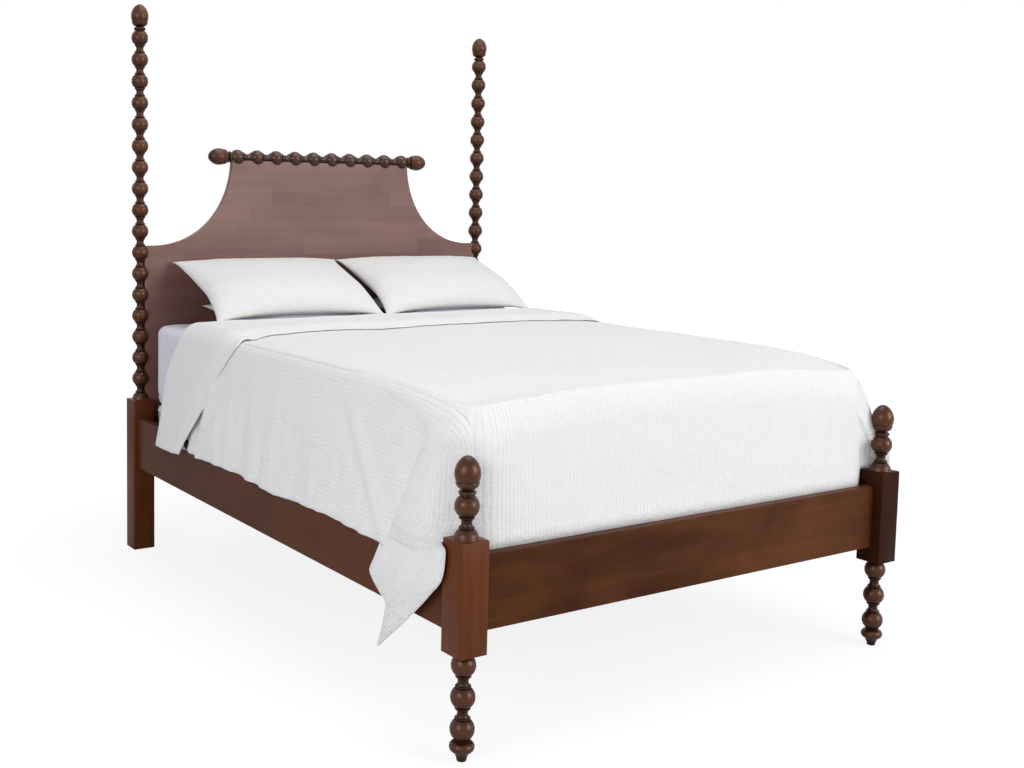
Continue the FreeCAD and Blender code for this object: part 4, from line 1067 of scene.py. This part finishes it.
def plumped(mesh, frames=8, cap=2.6):
    """Let the filling press on the slip as cloth; the cap, in millimetres, holds each point near its place."""
    data = bpy.data.meshes.new("slip")
    mesh.to_mesh(data)
    slip = bpy.data.objects.new("slip", data)
    bpy.context.scene.collection.objects.link(slip)
    cloth = slip.modifiers.new("Cloth", "CLOTH")
    rule = cloth.settings
    rule.quality, rule.mass, rule.air_damping = 7, 0.25, 4.0
    rule.tension_stiffness = rule.compression_stiffness = 30.0
    rule.shear_stiffness, rule.bending_stiffness = 12.0, 2.0
    rule.use_pressure, rule.uniform_pressure_force = True, 3.0
    rule.effector_weights.gravity = 0.0
    cloth.point_cache.frame_end = frames + 2
    for frame_now in range(1, frames + 1):
        bpy.context.scene.frame_set(frame_now)
    swollen = bpy.data.meshes.new_from_object(slip.evaluated_get(bpy.context.evaluated_depsgraph_get()))
    furthest = 0.0
    for vert, after in zip(mesh.verts, swollen.vertices):
        way = after.co - vert.co
        furthest = max(furthest, way.length / MM)
        vert.co += way * cap / (cap + way.length / MM)
    bpy.data.objects.remove(slip)
    bpy.data.meshes.remove(swollen)
    bpy.context.scene.frame_set(1)
    print("pressed from inside, furthest point, millimetres:", round(furthest, 1))
    return mesh


def pillow(name, mesh, tilt, box, material, body, replaced, beneath, gap, roll=0.0):
    """Tilt a stuffed slip, fit it to its box in millimetres and press it on what is beneath."""
    cloth = mesh.loops.layers.uv.new("cloth")
    for face in mesh.faces:
        for loop in face.loops:
            loop[cloth].uv = (loop.vert.co.y, loop.vert.co.x)
    turn = Matrix.Rotation(math.radians(roll), 4, "Z") @ Matrix.Rotation(math.radians(tilt), 4, "X")
    bmesh.ops.transform(mesh, matrix=turn, verts=mesh.verts)
    low = [min(v.co[k] for v in mesh.verts) for k in range(3)]
    high = [max(v.co[k] for v in mesh.verts) for k in range(3)]
    for vert in mesh.verts:
        vert.co = Vector([(box[0][k] + (vert.co[k] - low[k]) / (high[k] - low[k]) * (box[1][k] - box[0][k])) * MM for k in range(3)])
        end = 2 * (vert.co.x / MM - box[0][0]) / (box[1][0] - box[0][0]) - 1
        front = max(0.0, 1 - (vert.co.y / MM - box[0][1]) / 140.0)
        vert.co.z -= (20.0 * front + 26.0 * abs(end) ** 3) * front * MM
    for rounds in range(3):
        pressed = 0
        for vert in mesh.verts:
            hits = [tree.ray_cast(Vector((vert.co.x, vert.co.y, 2.0)), Vector((0, 0, -1)))[0] for tree in beneath]
            floor_z = max([hit.z for hit in hits if hit] or [-1.0])
            if vert.co.z < floor_z + gap * MM:
                vert.co.z = floor_z + gap * MM
                pressed += 1
        for _ in range(2 if rounds < 2 else 0):
            bmesh.ops.smooth_vert(mesh, verts=mesh.verts, factor=0.5, use_axis_z=True)
    piece = finished(name, mesh, material, body, smooth_below=80.0)
    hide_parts(replaced)
    print(name, "pressed at", pressed, "points")
    return piece

# %% Sleeping pillows and shams
bed_top = surface(sheet)
for side_name, shift, seed in (("left", 0.0, 1.0), ("right", 714.0, 5.0)):
    sleeper = pillow("sleeping_pillow_%s_slip" % side_name, plumped(stuffed((690, 396, 84), seed)), 8.0,
                     ((-566 + shift, 655.0, 864.2), (26 + shift, 985.0, 952.0)), SLIP_COVER,
                     "sleeping_pillow_" + side_name, "sleeping_pillow_" + side_name, bed_top, 2.2)
    pillow("sham_%s_cover" % side_name, plumped(stuffed((706, 446, 136), seed + 2.0)), 22.0,
           ((-670 + shift, 618.1, 920.0), (41 + shift, 1025.5, 1114.5)), SHAM_COVER,
           "sham_" + side_name, "sham_" + side_name, surface(sleeper, band), 1.2)

# %% [markdown]
# A plain white studio: one large soft lamp from the front right, a weaker one from the left, and
# one overhead. The floor and the world show white to the camera, and the floor keeps a trace of
# its own shading, so that the legs still cast their soft shadow.

# %% Studio
def soft_lamp(name, at, towards, size, watts):
    lamp = bpy.data.objects.new(name, bpy.data.lights.new(name, "AREA"))
    bpy.context.scene.collection.objects.link(lamp)
    lamp.data.shape = "RECTANGLE"
    lamp.data.size, lamp.data.size_y = size
    lamp.data.energy = watts
    lamp.location = at
    lamp.rotation_mode = "QUATERNION"
    lamp.rotation_quaternion = (Vector(towards) - Vector(at)).to_track_quat("-Z", "Y")
    return lamp


soft_lamp("lamp_right", (3.6, -7.2, 3.0), (0.0, -0.6, 0.6), (4.2, 3.6), 330.0)
soft_lamp("lamp_left", (-4.8, -2.2, 2.2), (0.0, 0.0, 0.7), (2.6, 2.2), 90.0)
soft_lamp("lamp_above", (0.2, -0.2, 4.6), (0.0, 0.0, 0.5), (3.4, 3.4), 88.0)

world = bpy.data.worlds.new("studio")
bpy.context.scene.world = world
world.use_nodes = True
tree = world.node_tree
tree.nodes.clear()
path = tree.nodes.new("ShaderNodeLightPath")
seen = path.outputs["Is Camera Ray"]
for ray in ("Is Glossy Ray", "Is Transmission Ray"):
    either = tree.nodes.new("ShaderNodeMath")
    either.operation = "ADD"
    either.use_clamp = True
    tree.links.new(seen, either.inputs[0])
    tree.links.new(path.outputs[ray], either.inputs[1])
    seen = either.outputs[0]
lighting = tree.nodes.new("ShaderNodeBackground")
lighting.inputs["Color"].default_value = (0.93, 0.96, 1.0, 1.0)
lighting.inputs["Strength"].default_value = 0.35
white = tree.nodes.new("ShaderNodeBackground")
white.inputs["Color"].default_value = (1.0, 1.0, 1.0, 1.0)
mixed = tree.nodes.new("ShaderNodeMixShader")
tree.links.new(seen, mixed.inputs[0])
tree.links.new(lighting.outputs[0], mixed.inputs[1])
tree.links.new(white.outputs[0], mixed.inputs[2])
output = tree.nodes.new("ShaderNodeOutputWorld")
tree.links.new(mixed.outputs[0], output.inputs[0])
bpy.context.scene.view_settings.view_transform = "Standard"

ground = bmesh.new()
bmesh.ops.create_grid(ground, x_segments=1, y_segments=1, size=30.0)
floor_data = bpy.data.meshes.new("floor")
ground.to_mesh(floor_data)
ground.free()
floor = bpy.data.objects.new("floor", floor_data)
bpy.context.scene.collection.objects.link(floor)
paper = Finish("white_paper")
tree = paper.tree
tree.nodes.clear()
x, y, _ = paper.split(paper.place())
near = paper.wire(tree.nodes.new("ShaderNodeLightPath"), "Is Camera Ray")
far = (((x * x + y * y) ** 0.5 - 1.6) / 2.2).at_least(0.0).at_most(1.0)
matt = paper.node("ShaderNodeBsdfDiffuse", {}, {"Color": (0.86, 0.86, 0.87, 1.0)})
glow = paper.node("ShaderNodeEmission", {}, {"Color": (1.0, 1.0, 1.0, 1.0), "Strength": 1.14})
mixed = paper.node("ShaderNodeMixShader", {}, {0: near * (0.74 + far * 0.26), 1: paper.wire(matt), 2: paper.wire(glow)})
paper.node("ShaderNodeOutputMaterial", {}, {0: paper.wire(mixed)})
floor_data.materials.append(paper.material)
print("studio is lit")
